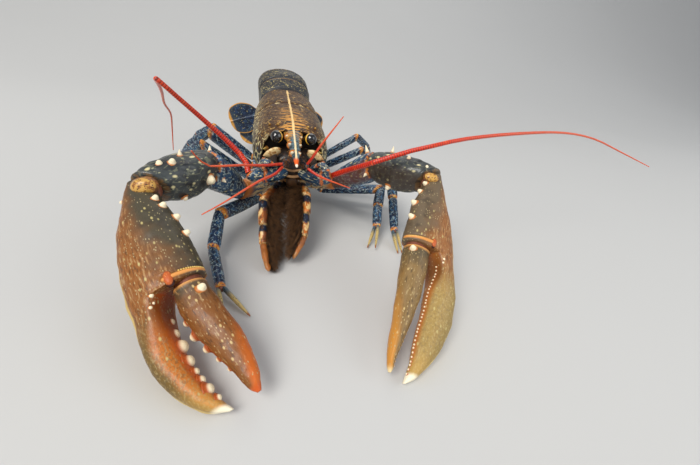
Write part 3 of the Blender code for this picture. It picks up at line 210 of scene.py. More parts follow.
CUTTER = {
    "joints": [(15.0, 33.0, 31.0), (39.0, 25.0, 34.0), (60.5, -11.5, 62.0), (88.5, -48.5, 66.0),
               (43.5, -152.0, 3.0)],
    "roll": 25.0,
    "bulk": 0.95,
    "step": 0.415,
    "palm": [(0.00, -7.5, 4.5, 6.6, 2.2), (0.05, -9.6, 4.6, 7.2, 2.2), (0.12, -13.2, 7.0, 8.2, 2.2),
             (0.22, -17.6, 9.6, 9.2, 2.2), (0.33, -21.4, 11.0, 9.6, 2.2), (0.40, -22.8, 11.4, 9.4, 2.3),
             (0.415, -22.8, 11.4, 9.2, 2.4), (0.43, -22.8, -7.0, 9.0, 3.2), (0.52, -24.2, -10.5, 8.2, 3.0),
             (0.61, -25.6, -8.8, 7.4, 2.7), (0.71, -25.4, -6.7, 6.6, 2.4), (0.80, -22.2, -5.0, 5.6, 2.2),
             (0.88, -16.6, -4.0, 4.6, 2.2), (0.94, -10.6, -3.0, 3.4, 2.2), (0.985, -4.8, -1.5, 1.9, 2.2),
             (1.00, -2.0, -0.8, 0.9, 2.2)],
    "hinge": (56.5, 2.8),
    "slant": 0.1,
    "tip": (126.5, 7.0),
    "dactyl": [(0.00, -8.4, 7.0, 7.0, 2.3), (0.08, -8.5, 7.0, 7.2, 2.3), (0.20, -8.6, 6.6, 6.8, 2.3),
               (0.34, -8.1, 5.9, 6.2, 2.2), (0.50, -6.8, 4.9, 5.6, 2.2), (0.64, -5.0, 4.1, 4.9, 2.2),
               (0.78, -3.0, 3.7, 4.0, 2.2), (0.90, -1.2, 3.1, 2.9, 2.2), (0.97, -1.0, 1.8, 1.8, 2.2),
               (1.00, -0.4, 0.8, 0.8, 2.2)],
    "palm_knobs": [(0.045, 20.0, 1.5, 2.2), (0.095, 6.0, 1.6, 2.4), (0.19, 8.0, 1.75, 2.8),
                   (0.29, 12.0, 1.65, 2.8)],
    "palm_teeth": [],
    "palm_beads": [(0.49, 0.965, 30, 8.0, 0.62, 1.0)],
    "dots": [(0.455, 62.0, 0.7, 0.35), (0.47, 50.0, 0.55, 0.3)],
    "condyle": (0.41, 83.0, 1.7, 3.0, 1.4),
    "dactyl_knobs": [(0.055, 46.0, 1.65, 2.4)],
    "dactyl_teeth": [],
    "dactyl_beads": [(0.20, 0.95, 26, 172.0, 0.5, 1.0)],
    "merus_spines": [(0.93, -75.0, 1.9, 6.6), (0.95, 165.0, 1.6, 3.6)],
    "carpus_spines": [(0.28, -68.0, 1.6, 4.6), (0.635, -88.0, 1.3, 2.0), (0.94, -88.0, 1.2, 1.6),
                      (0.43, 144.0, 1.9, 2.6)],
    "plate": ((86.2, -54.6, 70.8), (-0.2, -0.78, 0.6), (1.0, -0.1, -0.3), 5.0, 3.2, 1.6),
}
# Small pale beads in front of the root of each large claw: shares of the segment, and their way out
ROOT_BEADS = (0.42, 0.52, 0.66)
ROOT_BEADS_WAY = np.array([0.0, -0.62, -0.78])

# Walking legs: joints from the body to the toe, tips of the fixed fingers, and rows of share, half width,
# half height
LEGS = {
    "2_r": [(-14, 52, 31), (-26, 38, 9.5), (-51, -20, 22), (-52.5, -47, 9.5), (-44, -82, 5.5),
            (-27, -101, 1.2)],
    "2_l": [(14, 52, 31), (34, 50, 16), (86, 31, 26), (78, 9, 18), (71, -15, 11), (60, -32, 1.2)],
    "3_r": [(-14, 70, 31), (-34, 66, 18), (-71, 46, 52), (-88, 64, 36), (-99, 88, 13), (-106, 99, 0.9)],
    "3_l": [(14, 70, 31), (36, 70, 19), (97, 42, 40), (93, 14, 24), (86, -19, 9), (83.5, -40, 0.9)],
    "4_r": [(-14, 87, 31), (-34, 88, 22), (-69, 72, 55), (-89, 91, 38), (-106, 116, 12), (-112, 129, 0.8)],
    "4_l": [(14, 87, 31), (34, 88, 23), (74.5, 74, 50), (92, 93, 35), (107, 119, 12), (113, 132, 0.8)],
    "5_r": [(-14, 103, 31), (-34, 107, 25), (-70, 109, 52), (-88, 127, 38), (-105, 151, 12),
            (-111, 164, 0.8)],
    "5_l": [(14, 103, 31), (34, 107, 26), (76, 104, 56), (95, 123, 41), (111, 150, 13), (117, 164, 0.8)],
}
FIXED_TIP = {"2_r": (-41, -98, 1.2), "2_l": (65, -36, 3.5), "3_r": (-102.5, 100, 0.9), "3_l": (87, -40, 0.9)}
PINCER_SPREAD = 1.55
LEG_THICKNESS = {"2": 1.0, "3": 0.97, "4": 0.9, "5": 0.84}
MERUS = [[(0.0, 6.2, 6.4), (0.3, 7.0, 7.2), (0.7, 7.2, 7.4), (1.0, 6.4, 6.8)],
         [(0.0, 6.4, 6.8), (0.15, 7.6, 8.2), (0.6, 9.6, 10.6), (0.9, 10.4, 11.6), (1.0, 9.0, 10.0)]]
CARPUS = [(0.0, 8.8, 10.0), (0.12, 10.6, 11.8), (0.42, 12.4, 13.6), (0.7, 11.8, 12.8), (0.88, 9.8, 10.6),
          (1.0, 7.8, 8.6)]
LEG_KEYS = {
    "root": [(0.0, 4.2, 4.4), (0.45, 4.4, 4.6), (1.0, 3.7, 4.1)],
    "thigh": [(0.0, 3.7, 4.1), (0.12, 3.5, 4.7), (0.6, 3.7, 5.2), (0.93, 3.7, 4.9), (1.0, 3.1, 4.2)],
    "shin": [(0.0, 3.0, 4.0), (0.15, 3.3, 4.5), (0.85, 3.5, 4.7), (1.0, 2.9, 3.8)],
    "palm": [(0.0, 2.9, 3.8), (0.12, 3.1, 4.1), (0.7, 3.0, 4.0), (1.0, 2.4, 3.0)],
    "finger": [(0.0, 1.25, 2.1), (0.3, 1.25, 1.9), (0.7, 0.95, 1.3), (1.0, 0.4, 0.45)],
    "toe": [(0.0, 2.2, 2.6), (0.3, 2.0, 2.3), (0.75, 1.3, 1.4), (1.0, 0.5, 0.6)],
}

# Feelers, bases and mouth legs: rows of share, half width, half height along each segment
FEELER_BASE_POINTS = [(12.0, -7.6, 51.0), (22.0, -13.5, 50.5)]
FEELER_BASE = [[(0.0, 5.2, 5.4), (0.5, 6.2, 6.4), (1.0, 5.0, 5.2)],
               [(0.0, 5.0, 5.2), (0.5, 4.9, 4.9), (1.0, 2.4, 2.4)]]
FEELER_SCALE_POINTS = [(13.5, -10.0, 57.0), (19.0, -15.0, 62.0), (24.0, -23.5, 60.0)]
FEELER_SCALE = [[(0.0, 1.6, 3.6), (0.6, 1.5, 5.2), (1.0, 1.4, 4.8)],
                [(0.0, 1.4, 4.8), (0.6, 1.1, 3.0), (1.0, 0.5, 0.6)]]
FEELER_STALK_POINTS = [(4.6, EPISTOME[-1][0] - JOINT_GAP, 59.5), (5.6, -14.0, 61.0), (8.5, -23.5, 62.0)]
FEELER_STALK = [[(0.0, 2.8, 2.8), (1.0, 2.6, 2.6)], [(0.0, 2.3, 2.3), (0.85, 1.7, 1.9), (1.0, 1.1, 1.6)]]
EYE_POST_POINTS = [(13.8, -9.8, 58.5), (14.2, -8.4, 66.0)]
EYE_POST = [(0.0, 2.6, 1.4), (1.0, 2.0, 1.0)]
EYE_PLATE_POINTS = [(9.4, -7.6, 68.0), (21.4, -10.0, 63.6)]
EYE_PLATE = [(0.0, 2.0, 1.2), (0.35, 3.8, 1.6), (0.7, 2.8, 1.3), (1.0, 0.35, 0.4)]
MAXILLIPED_KEYS = [[(0.0, 3.6, 4.4), (0.5, 3.8, 4.8), (0.93, 3.4, 4.2), (1.0, 3.0, 3.6)],
                   [(0.0, 3.0, 3.6), (0.15, 3.3, 4.1), (0.85, 3.2, 3.9), (1.0, 2.8, 3.3)],
                   [(0.0, 2.8, 3.3), (0.5, 3.0, 3.5), (1.0, 2.4, 2.9)],
                   [(0.0, 2.4, 2.9), (0.5, 2.1, 2.5), (0.85, 1.5, 1.8), (1.0, 0.6, 0.7)]]
# Hair on each segment of a mouth leg: count, length, distance of the roots from its middle line
MOUTH_HAIR = [(900, 15.0, 3.4), (1000, 16.0, 3.1), (900, 15.0, 2.8), (700, 10.0, 2.0)]
CHIN_HAIRS = 2600
HAIR_RADIUS = 0.16
HAIR_DROOP = 0.28

ANTENNA = {
    -1: [(-31, -15, 52), (-32, -11, 56.5), (-36.3, -7, 62), (-48, -7, 74), (-60.6, -14, 88), (-70, -24, 100),
         (-75, -32, 107.5), (-78.5, -24, 107), (-84, 0, 101), (-90, 27, 92), (-96, 52, 80), (-98, 74, 68),
         (-103, 92, 51), (-107, 102, 28)],
    1: [(28.5, -12.8, 53), (36, -21, 60), (43, -33, 68), (52, -41, 75), (72, -43.5, 84), (88.5, -46, 90),
        (109, -43.6, 95), (151, -35.5, 100), (209.5, -18.5, 102), (253, -11, 99), (293, -9, 90),
        (330, -14.6, 80)],
}
ANTENNA_RADII = [(0.0, 2.1), (0.08, 1.9), (0.29, 1.4), (0.43, 1.2), (0.62, 0.93), (0.88, 0.62), (1.0, 0.35)]
ANTENNA_CENTRES = {-1: 34, 1: 26}
ANTENNULE_RADII = [(0.0, 1.05), (0.4, 0.8), (1.0, 0.3)]
ANTENNULE = {
    -1: [[(-8.5, -23.5, 62.8), (-20, -34, 65), (-32.5, -44.7, 68), (-41.5, -53.7, 70), (-49.3, -60.6, 72),
          (-52.7, -67.1, 78), (-53.5, -75.1, 84)],
         [(-8.5, -23.5, 61.2), (-14, -36, 60), (-23.2, -48.7, 60), (-40.4, -70.8, 56), (-51.1, -78.7, 52)]],
    1: [[(8.5, -23.5, 62.8), (12, -25, 71), (17, -25.5, 80), (29, -25, 98)],
        [(8.5, -23.5, 61.2), (13, -27, 59), (19.7, -30.9, 57), (37.9, -33.6, 52)]],
}
MAXILLIPED = {
    -1: [(-8.5, 6, 35), (-20, -15, 30), (-20, -32, 19.6), (-20, -44, 11.2), (-17, -64, 4)],
    1: [(8.5, 6, 35), (10, -15, 34.5), (8.5, -30, 28), (6.6, -44, 17.9), (-0.7, -56, 8)],
}

sternum_low, sternum_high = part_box("sternum")
ORIGIN = Vector(((sternum_low.x + sternum_high.x) / 2, sternum_low.y - STERNUM_FRONT_Y * MM, 0.0))


def unit(vector):
    vector = np.asarray(vector, float)
    return vector / np.linalg.norm(vector, axis=-1, keepdims=True)


def square_to(axis, vector):
    """The direction of the part of vector that stands square to axis."""
    vector = np.asarray(vector, float)
    return unit(vector - (vector @ axis) * axis)


def vectors(points):
    return [np.array(point, float) for point in points]


def mirrored(points, side):
    """Points or directions of the left side, where side is 1, or their mirror images."""
    return [np.array([side * x, y, z]) for x, y, z in points]


def stacked(*parts):
    return np.stack(np.broadcast_arrays(*parts), -1)


def scaled(rows, size):
    return [(share, width * size, height * size) for share, width, height in rows]


def smoothstep(low, high, value):
    t = np.clip((np.asarray(value, float) - low) / (high - low), 0.0, 1.0)
    return t * t * (3 - 2 * t)


def faded(shares, width):
    """0 at both ends of a form and 1 from width inwards, one row for each share."""
    return smoothstep(0.0, width, np.minimum(shares, 1 - shares))[:, None]


def hump(value, middle, width):
    return np.exp(-((value - middle) / width) ** 2)


def eased(keys, shares):
    """Smooth, monotone interpolation through rows of (position, value, ...), one row for each share."""
    keys = np.asarray(keys, float)
    shares = np.atleast_1d(np.asarray(shares, float))
    x = keys[:, 0]
    y = keys[:, 1:]
    step = np.diff(x)[:, None]
    slope = np.diff(y, axis=0) / step
    tangent = np.zeros_like(y)
    tangent[0] = slope[0]
    tangent[-1] = slope[-1]
    for i in range(1, len(x) - 1):
        same_way = slope[i - 1] * slope[i] > 0
        weight_a = 2 * step[i] + step[i - 1]
        weight_b = step[i] + 2 * step[i - 1]
        safe_a = np.where(same_way, slope[i - 1], 1.0)
        safe_b = np.where(same_way, slope[i], 1.0)
        tangent[i] = np.where(same_way, (weight_a + weight_b) / (weight_a / safe_a + weight_b / safe_b), 0.0)
    i = np.clip(np.searchsorted(x, shares) - 1, 0, len(x) - 2)
    h = (x[i + 1] - x[i])[:, None]
    t = (shares - x[i])[:, None] / h
    return ((2 * t**3 - 3 * t**2 + 1) * y[i] + (t**3 - 2 * t**2 + t) * h * tangent[i]
            + (3 * t**2 - 2 * t**3) * y[i + 1] + (t**3 - t**2) * h * tangent[i + 1])


def travelled(path):
    """The length of a path up to each of its points."""
    return np.r_[0, np.cumsum(np.linalg.norm(np.diff(path, axis=0), axis=1))]


def resampled(path, known, wanted):
    return np.column_stack([np.interp(wanted, known, path[:, k]) for k in range(3)])


def smooth_path(points, count):
    """Points evenly spread along a Catmull-Rom curve through the given ones."""
    points = np.asarray(points, float)
    padded = np.vstack([2 * points[0] - points[1], points, 2 * points[-1] - points[-2]])
    fine = []
    for i in range(1, len(padded) - 2):
        a, b, c, d = padded[i - 1:i + 3]
        for t in np.linspace(0, 1, 40, endpoint=False):
            fine.append(0.5 * (2 * b + (c - a) * t + (2 * a - 5 * b + 4 * c - d) * t**2
                               + (3 * b - a - 3 * c + d) * t**3))
    fine = np.array([*fine, points[-1]])
    length = travelled(fine)
    return resampled(fine, length, np.linspace(0, length[-1], count))


def signed_power(value, power):
    return np.sign(value) * np.abs(value) ** power


def superellipse(sides, power):
    """Place across and height, from -1 to 1, of points round a rounded section, or round each of many."""
    angle = np.linspace(0, 2 * math.pi, sides, endpoint=False)
    bend = 2 / np.asarray(power, float)[..., None]
    return signed_power(np.cos(angle), bend), signed_power(np.sin(angle), bend)


def rings_about(centres, side, up, wide, high):
    """Rings of points round centres, wide along side and high along up."""
    return centres + wide[..., None] * side + high[..., None] * up


def ripple(points, wavelength, seed):
    """Smooth lumpiness between about -1 and 1, from seeded waves in many directions."""
    chance = np.random.default_rng(seed)
    total = np.zeros(points.shape[:-1])
    for _ in range(10):
        direction = unit(chance.normal(size=3))
        pace = 2 * math.pi / (wavelength * chance.uniform(0.7, 1.4))
        total += np.sin(points @ direction * pace + chance.uniform(0, 2 * math.pi))
    return total / 4.5


def outward(rings):
    """Directions out of a grid of rings."""
    around = np.roll(rings, -1, axis=1) - np.roll(rings, 1, axis=1)
    made = np.cross(around, np.gradient(rings, axis=0))
    made /= np.maximum(np.linalg.norm(made, axis=-1, keepdims=True), 1e-9)
    inside_out = np.sum(made * (rings - rings.mean(axis=1, keepdims=True))) < 0
    return -made if inside_out else made


def displaced(rings, height):
    return rings + outward(rings) * height[..., None]


def add_mesh(name, points, quads, triangles, paints, place, look, nodes=()):
    """Makes an object, in place, with its material and paint, and ties it to the frame."""
    corners = np.r_[quads.ravel(), triangles.ravel()].astype(np.int32)
    starts = np.r_[np.arange(len(quads)) * 4, len(quads) * 4 + np.arange(len(triangles)) * 3]
    mesh = bpy.data.meshes.new(name)
    mesh.vertices.add(len(points))
    mesh.vertices.foreach_set("co", (points * MM + np.array(ORIGIN)).astype(np.float32).ravel())
    mesh.loops.add(len(corners))
    mesh.loops.foreach_set("vertex_index", corners)
    mesh.polygons.add(len(starts))
    mesh.polygons.foreach_set("loop_start", starts.astype(np.int32))
    mesh.update(calc_edges=True)
    mesh.polygons.foreach_set("use_smooth", np.ones(len(starts), bool))
    for paint, values in paints.items():
        mesh.attributes.new(paint, "FLOAT", "POINT").data.foreach_set("value", values.astype(np.float32))
    where = mesh.attributes.new("place", "FLOAT_VECTOR", "POINT")
    where.data.foreach_set("vector", place.astype(np.float32).ravel())
    mesh.materials.append(look)
    mesh.update()
    obj = bpy.data.objects.new(name, mesh)
    bpy.context.scene.collection.objects.link(obj)
    if nodes:
        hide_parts(*nodes)
    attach(obj, "root")
    return obj


class Form:
    """Closed surfaces, and what is painted on their points, made into one object."""

    def __init__(self):
        self.points = []
        self.quads = []
        self.triangles = []
        self.paint = {name: [] for name in PAINTS}
        self.place = []
        self.count = 0

    def loft(self, rings, place=None, **paint):
        """Adds a closed surface through rings, an array of rows by sides by 3."""
        rows, sides = rings.shape[:2]
        index = self.count + np.arange(rows * sides).reshape(rows, sides)
        after = np.roll(index, -1, axis=1)
        quads = np.stack([index[:-1], after[:-1], after[1:], index[1:]], axis=-1).reshape(-1, 4)
        first = self.count + rows * sides
        near = np.stack([after[0], index[0], np.full(sides, first)], axis=-1)
        far = np.stack([index[-1], after[-1], np.full(sides, first + 1)], axis=-1)
        triangles = np.vstack([near, far])
        points = np.vstack([rings.reshape(-1, 3), rings[[0, -1]].mean(axis=1)])
        local = points - points.mean(axis=0)
        a, b, c, d = (local[quads[:, k] - self.count] for k in range(4))
        volume = np.sum(a * np.cross(b, c)) + np.sum(a * np.cross(c, d))
        if volume < 0:
            quads = quads[:, ::-1]
            triangles = triangles[:, ::-1]
        self.points.append(points)
        self.quads.append(quads)
        self.triangles.append(triangles)
        for name in PAINTS:
            values = np.broadcast_to(np.asarray(paint.get(name, 0.0), float), (rows, sides))
            self.paint[name].append(np.r_[values.ravel(), values[[0, -1]].mean(axis=1)])
        where = points if place is None else np.vstack([place.reshape(-1, 3), place[[0, -1]].mean(axis=1)])
        self.place.append(where)
        self.count += len(points)

    def make(self, name, look):
        """Makes the object that replaces the frame's node of the same name."""
        points = np.vstack(self.points)
        points[:, 2] = np.maximum(points[:, 2], LIFT)
        paints = {paint: np.concatenate(values) for paint, values in self.paint.items()}
        add_mesh(name, points, np.vstack(self.quads), np.vstack(self.triangles), paints,
                 np.vstack(self.place), look, [name])


def halving_plane(point, before, after):
    return (point, unit(unit(before) + unit(after)))


def joint_planes(points):
    """The plane at each inner point of a bent line that halves the bend there."""
    return [halving_plane(b, b - a, c - b) for a, b, c in zip(points, points[1:], points[2:])]


def bend_normal(a, b, c):
    return unit(np.cross(b - a, c - b))


def lean(rings, plane, axis, distance, reach):
    """Tilts rings towards the plane of a joint near them."""
    origin, normal = plane
    shift = (origin - rings) @ normal / (axis @ normal)
    weight = np.clip(1.0 - distance / (2.2 * reach), 0.0, 1.0)
    return rings + ((shift - shift.mean(axis=1, keepdims=True)) * weight[:, None])[..., None] * axis


def hold_back(rings, plane, axis, room, far):
    """Keeps rings at least room away from a joint's plane, on their own side."""
    origin, normal = plane
    height = (rings - origin) @ normal
    moved = np.minimum(height, -room[:, None]) if far else np.maximum(height, room[:, None])
    return rings + ((moved - height) / (axis @ normal))[..., None] * axis


def domed(form, centre, out, radius, height, tint=0.0, axis=(0.31, 0.47, 0.83), stretch=1.0):
    """A rounded knob or, where it is much higher than wide, a spine, with a flared root.

    It is stretched along axis where that is asked for.
    """
    out = unit(out)
    up = square_to(out, axis)
    t = np.linspace(0, 1, 15 if radius > 1.0 else 9)
    if height > 1.9 * radius:
        rise = t
        width = radius * ((1 - t) ** 0.85 * 0.93 + 0.07) * (1 + 0.75 * np.exp(-t / 0.09))
        width[-1] *= 0.35
    else:
        rise = np.sin(t * math.pi / 2)
        root_flare = 0.7 if stretch < 1.2 else 0.15
        width = radius * np.cos(t * math.pi / 2 * 0.98) ** 0.75 * (1 + root_flare * np.exp(-t / 0.13))
    rise = -KNOB_SUNK * radius + (height + KNOB_SUNK * radius) * rise
    across, lift = superellipse(20 if radius > 1.0 else 12, 2.0)
    rings = rings_about(np.asarray(centre, float) + rise[:, None, None] * out, np.cross(out, up), up,
                        width[:, None] * across, width[:, None] * lift * stretch)
    level = np.clip((rise + 0.1 * radius) / (height + 0.1 * radius), 0.02, 1.0)
    form.loft(rings, knob=level[:, None], tint=tint)


def studded(form, spots, find, tint=0.0):
    """Adds knobs, teeth or spines, each with a share, angle, radius and height, where find puts them."""
    for share, angle, radius, height in spots:
        domed(form, *find(share, angle), radius, height, tint)


def beaded(form, rows, find):
    """Adds rows of beads, each with its first and last share, count, angle, radius and tint."""
    for first, last, count, angle, radius, tint in rows:
        beads = [(share, angle, radius, radius * 1.2) for share in np.linspace(first, last, count)]
        studded(form, beads, find, tint)


def segment(form, a, b, rows, hint, near, far, sides=40, step=0.8, power=2.2, gaps=(True, True), relief=0.12,
            seed=1, tint=0.0):
    """One stretch of a limb between two joint planes, with rounded, flared ends.

    rows has share, half width along hint, half height. gaps says at which ends another node begins.
    """
    length = np.linalg.norm(b - a)
    axis = unit(b - a)
    side = square_to(axis, hint)
    ends = np.array([0.4, 1.0]) / length
    shares = np.unique(np.r_[np.linspace(0, 1, max(12, int(length / step))), ends, 1 - ends])
    width, height = eased(rows, shares).T
    start = shares * length
    end = (1 - shares) * length
    lip = 1.0 - 0.16 * np.exp(-start / 0.9) - 0.20 * np.exp(-end / 0.45)
    grow = (lip * (1.0 + 0.06 * hump(end, 1.6, 1.2)))[:, None]
    across, lift = superellipse(sides, power)
    rings = rings_about(a + start[:, None, None] * axis, side, np.cross(side, axis),
                        width[:, None] * grow * across, height[:, None] * grow * lift)
    nearest = np.minimum(start, end)[:, None]
    rings = displaced(rings, relief * ripple(rings, 7.0, seed) * smoothstep(0, 3, nearest))
    for plane, distance, gap, beyond in ((near, start, gaps[0], False), (far, end, gaps[1], True)):
        if plane is not None:
            rings = lean(rings, plane, axis, distance, np.maximum(width, height))
            rings = hold_back(rings, plane, axis, 0.06 * distance + JOINT_GAP / 2 * gap, beyond)
    place = stacked(start[:, None], across * width[:, None], lift * height[:, None])
    form.loft(rings, place=place, along=shares[:, None], cross=across, face=lift,
              soft=hump(nearest, 0.0, 1.6), tint=tint)
    return rings


def cuff(form, ring, axis, reach, shrink=0.86):
    """The soft skin inside a joint, from inside one part to inside the next."""
    middle = ring.mean(axis=0)
    inner = middle + (ring - middle) * shrink
    form.loft(np.stack([inner + axis * t * reach for t in (-1.0, -0.5, 0.0, 0.5, 1.0)]), soft=1.5)


def claw_frame(joints, roll, side):
    """Along, across (outer to inner edge) and normal directions of a claw's blade."""
    along = unit(joints[4] - joints[3])
    level = unit(np.cross(along, (0, 0, 1)))
    level = level if level[0] * side < 0 else -level
    upward = np.cross(along, level)
    upward = upward if upward[2] > 0 else -upward
    turn = math.radians(roll)
    return (along, level * math.cos(turn) + upward * math.sin(turn),
            upward * math.cos(turn) - level * math.sin(turn))


def limb_spot(a, b, rows, hint, share, angle):
    """A point on a limb segment's surface and the direction out of it."""
    axis = unit(b - a)
    side = square_to(axis, hint)
    width, height = eased(rows, share)[0]
    turn = math.radians(angle)
    flatness = abs(math.cos(turn) / width) ** LIMB_POWER + abs(math.sin(turn) / height) ** LIMB_POWER
    out = side * math.cos(turn) + np.cross(side, axis) * math.sin(turn)
    return a + axis * share * np.linalg.norm(b - a) + out * flatness ** (-1 / LIMB_POWER), out


def blade_spot(origin, along, across, normal, length, keys, share, angle):
    """A point on a claw's blade and the direction out of it."""
    low, high, thick, power = eased(keys, share)[0]
    turn = math.radians(angle)
    cos_part = signed_power(math.cos(turn), 2 / power)
    sin_part = signed_power(math.sin(turn), 2 / power)
    half = (high - low) / 2
    out = (across * signed_power(cos_part, power - 1) / half
           + normal * signed_power(sin_part, power - 1) / thick)
    spot = (origin + along * share * length + across * ((low + high) / 2 + half * cos_part)
            + normal * thick * sin_part)
    return spot, unit(out)


def past_step(shares, step):
    """How far a blade still keeps the wide section from before its step, from 1 down to 0."""
    return smoothstep(step + 0.22, step + 0.02, shares) * (shares > step)


def blade_rings(origin, along, across, normal, length, keys, shares, sides, start_plane, slant, step=None):
    """Rings of a claw's blade or movable finger, with places across and up for its paint.

    Past a step the blade's back first keeps the wide section's height.
    """
    low, high, thick, power = eased(keys, shares).T
    cross, lift = superellipse(sides, power)
    x = ((low + high) / 2)[:, None] + ((high - low) / 2)[:, None] * cross
    z = thick[:, None] * lift
    if step is not None:
        wide = eased(keys, step)[0]
        half = (wide[1] - wide[0]) / 2
        from_edge = np.clip(np.abs((x - low[:, None]) / half - 1.0), 0.0, 1.0)
        roof = wide[2] * (1 - from_edge ** wide[3]) ** (1 / wide[3])
        lowered = np.sign(z) * roof * (1 - np.clip(cross, 0.0, 1.0) ** STEP_POWER) ** (1 / STEP_POWER)
        z = z + (lowered - z) * past_step(shares, step)[:, None]
    near = np.clip(1.0 - np.abs(shares - slant[0]) / SLANT_REACH, 0.0, 1.0)
    y = (shares * length)[:, None] + z * slant[1] * near[:, None]
    rings = origin + y[..., None] * along + x[..., None] * across + z[..., None] * normal
    rings = lean(rings, start_plane, along, shares * length, (high - low) / 2)
    rings = hold_back(rings, start_plane, along, JOINT_GAP / 2 + 0.05 * shares * length, False)
    return rings, np.stack([y, x, z], -1), cross, lift


def ring_spot(rings, shares, share, angle):
    """A point on a blade's finished surface and the direction out of it."""
    sides = rings.shape[1]
    i = int(np.argmin(np.abs(shares - share)))
    j = int(round(angle / 360 * sides)) % sides
    return rings[i, j], outward(rings[max(0, i - 2):i + 3])[min(i, 2), j]


def dense(count, *busy):
    """Shares from 0 to 1, closer together in each busy stretch (first, last, count)."""
    return np.unique(np.r_[np.linspace(0, 1, count), *[np.linspace(*stretch) for stretch in busy]])


def make_arm(name, tag, claw, planes, hint, looks):
    """The two stout segments that carry a large claw."""
    joints = claw["joints"]
    root_plane, knee, elbow, wrist = planes
    upper, lower, carpus = (scaled(rows, claw["bulk"]) for rows in (*MERUS, CARPUS))
    form = Form()
    segment(form, joints[0], joints[1], upper, hint, root_plane, knee, 64, power=LIMB_POWER,
            gaps=(True, False), seed=3, tint=5.0)
    axis = unit(joints[1] - joints[0])
    side = square_to(axis, hint)
    turn = math.degrees(math.atan2(ROOT_BEADS_WAY @ np.cross(side, axis), ROOT_BEADS_WAY @ side))
    studded(form, [(share, turn, 0.9, 1.1) for share in ROOT_BEADS],
            partial(limb_spot, joints[0], joints[1], upper, hint))
    last = segment(form, joints[1], joints[2], lower, hint, knee, elbow, 96, 0.6, LIMB_POWER, (False, True),
                   0.22, 4)
    cuff(form, last[-1], elbow[1], 3.0)
    studded(form, claw["merus_spines"], partial(limb_spot, joints[1], joints[2], lower, hint))
    form.make(f"{name}_merus_{tag}", looks["arm"])

    form = Form()
    last = segment(form, joints[2], joints[3], carpus, hint, elbow, wrist, 120, 0.5, LIMB_POWER, relief=0.3,
                   seed=5)
    cuff(form, last[-1], wrist[1], 3.0)
    studded(form, claw["carpus_spines"], partial(limb_spot, joints[2], joints[3], carpus, hint))
    spot, out, axis, half_length, half_width, height = claw["plate"]
    domed(form, spot, out, half_width, height, 3.0, axis, half_length / half_width)
    form.make(f"{name}_carpus_{tag}", looks["carpus"])


def make_palm(name, tag, claw, blade, wrist, looks):
    """A claw's hand with its fixed finger, the raised lip and the hinge of the movable one."""
    palm = claw["palm"]
    step = claw["step"]
    length = blade[-1]
    shares = dense(230, (step - 0.035, step + 0.02, 54), (0.97, 1.0, 16), (0.0, 0.02, 8))
    rings, place, cross, lift = blade_rings(*blade, palm, shares, 200, wrist,
                                            (claw["hinge"][0] / length, claw["slant"]), step)
    low, high = eased(palm, shares).T[:2]
    full = high + (eased(palm, step)[0][1] - high) * past_step(shares, step)
    spread = 2 * (place[..., 1] - low[:, None]) / (full - low)[:, None] - 1
    # Nearness to the inner edge of the gap, painted as tint, sets the orange edge and the painted shade near
    # the hinge.
    gap = np.exp(-(high[:, None] - place[..., 1]) / 2.2) * smoothstep(step, step + 0.02, shares)[:, None]
    before = (shares[:, None] - step) * length
    inner = smoothstep(0.10, 0.24, cross) * smoothstep(-0.2, 0.2, lift)
    collar = hump(before, -1.5, 1.0) * inner
    furrow = hump(before, -3.6, 0.6) * inner
    edge = hump(cross, -1.0, 0.025) * smoothstep(0.12, 0.3, shares)[:, None]
    height = (0.32 * ripple(rings, 17.0, 11) + 0.1 * ripple(rings, 5.0, 12)
              + 0.9 * collar - 0.35 * furrow + 0.3 * edge)
    rings = displaced(rings, height * faded(shares, 0.03))
    form = Form()
    form.loft(rings, place=place, along=shares[:, None], cross=spread, face=lift, soft=collar, tint=gap)
    on_shell = partial(ring_spot, rings, shares)
    on_blade = partial(blade_spot, *blade, palm)
    studded(form, claw["palm_knobs"] + claw["dots"], on_shell)
    studded(form, claw["palm_teeth"], on_blade, 1.0)
    beaded(form, claw["palm_beads"], on_shell)
    for angle in np.linspace(10.0, 58.0, 13):
        spot, out = on_blade(step - 1.2 / length, angle)
        domed(form, spot + out * 0.6, out, 0.42, 0.42, 4.0)
    share, angle, half_width, half_length, height = claw["condyle"]
    domed(form, *on_blade(share, angle), half_width, height, 2.0, blade[1], half_length / half_width)
    form.make(f"{name}_palm_{tag}", looks[f"{name}_palm"])


def make_dactyl(name, tag, claw, blade, looks):
    """A claw's movable finger."""
    origin, along, across, normal, length = blade
    dactyl = claw["dactyl"]
    slant = claw["slant"]
    base, tip = (origin + along * far + across * wide for far, wide in (claw["hinge"], claw["tip"]))
    onward = unit(tip - base)
    finger = (base, onward, square_to(onward, across), normal, np.linalg.norm(tip - base))
    shares = dense(180, (0.0, 0.05, 16), (0.97, 1.0, 14))
    rings, place, cross, lift = blade_rings(*finger, dactyl, shares, 144,
                                            (base, unit(along - normal * slant)), (0.0, slant))
    ridge = hump(lift, 0.86, 0.07) * smoothstep(0.1, 0.3, shares)[:, None] * (cross > 0)
    height = 0.22 * ripple(rings, 11.0, 21) + 0.07 * ripple(rings, 4.0, 22) + 0.12 * ridge
    rings = displaced(rings, height * faded(shares, 0.05))
    form = Form()
    form.loft(rings, place=place, along=shares[:, None], cross=cross, face=lift)
    cuff(form, rings[0], along, 4.0)
    on_blade = partial(blade_spot, *finger, dactyl)
    studded(form, claw["dactyl_knobs"], on_blade)
    studded(form, claw["dactyl_teeth"], on_blade, 1.0)
    beaded(form, claw["dactyl_beads"], on_blade)
    form.make(f"{name}_dactyl_{tag}", looks[f"{name}_dactyl"])


def beside_sternum(point, side):
    """A limb's root, moved to just outside the edge of the sternum."""
    half_width = eased(STERNUM, point[1])[0][0]
    return np.array([side * (half_width + JOINT_GAP), *point[1:]])


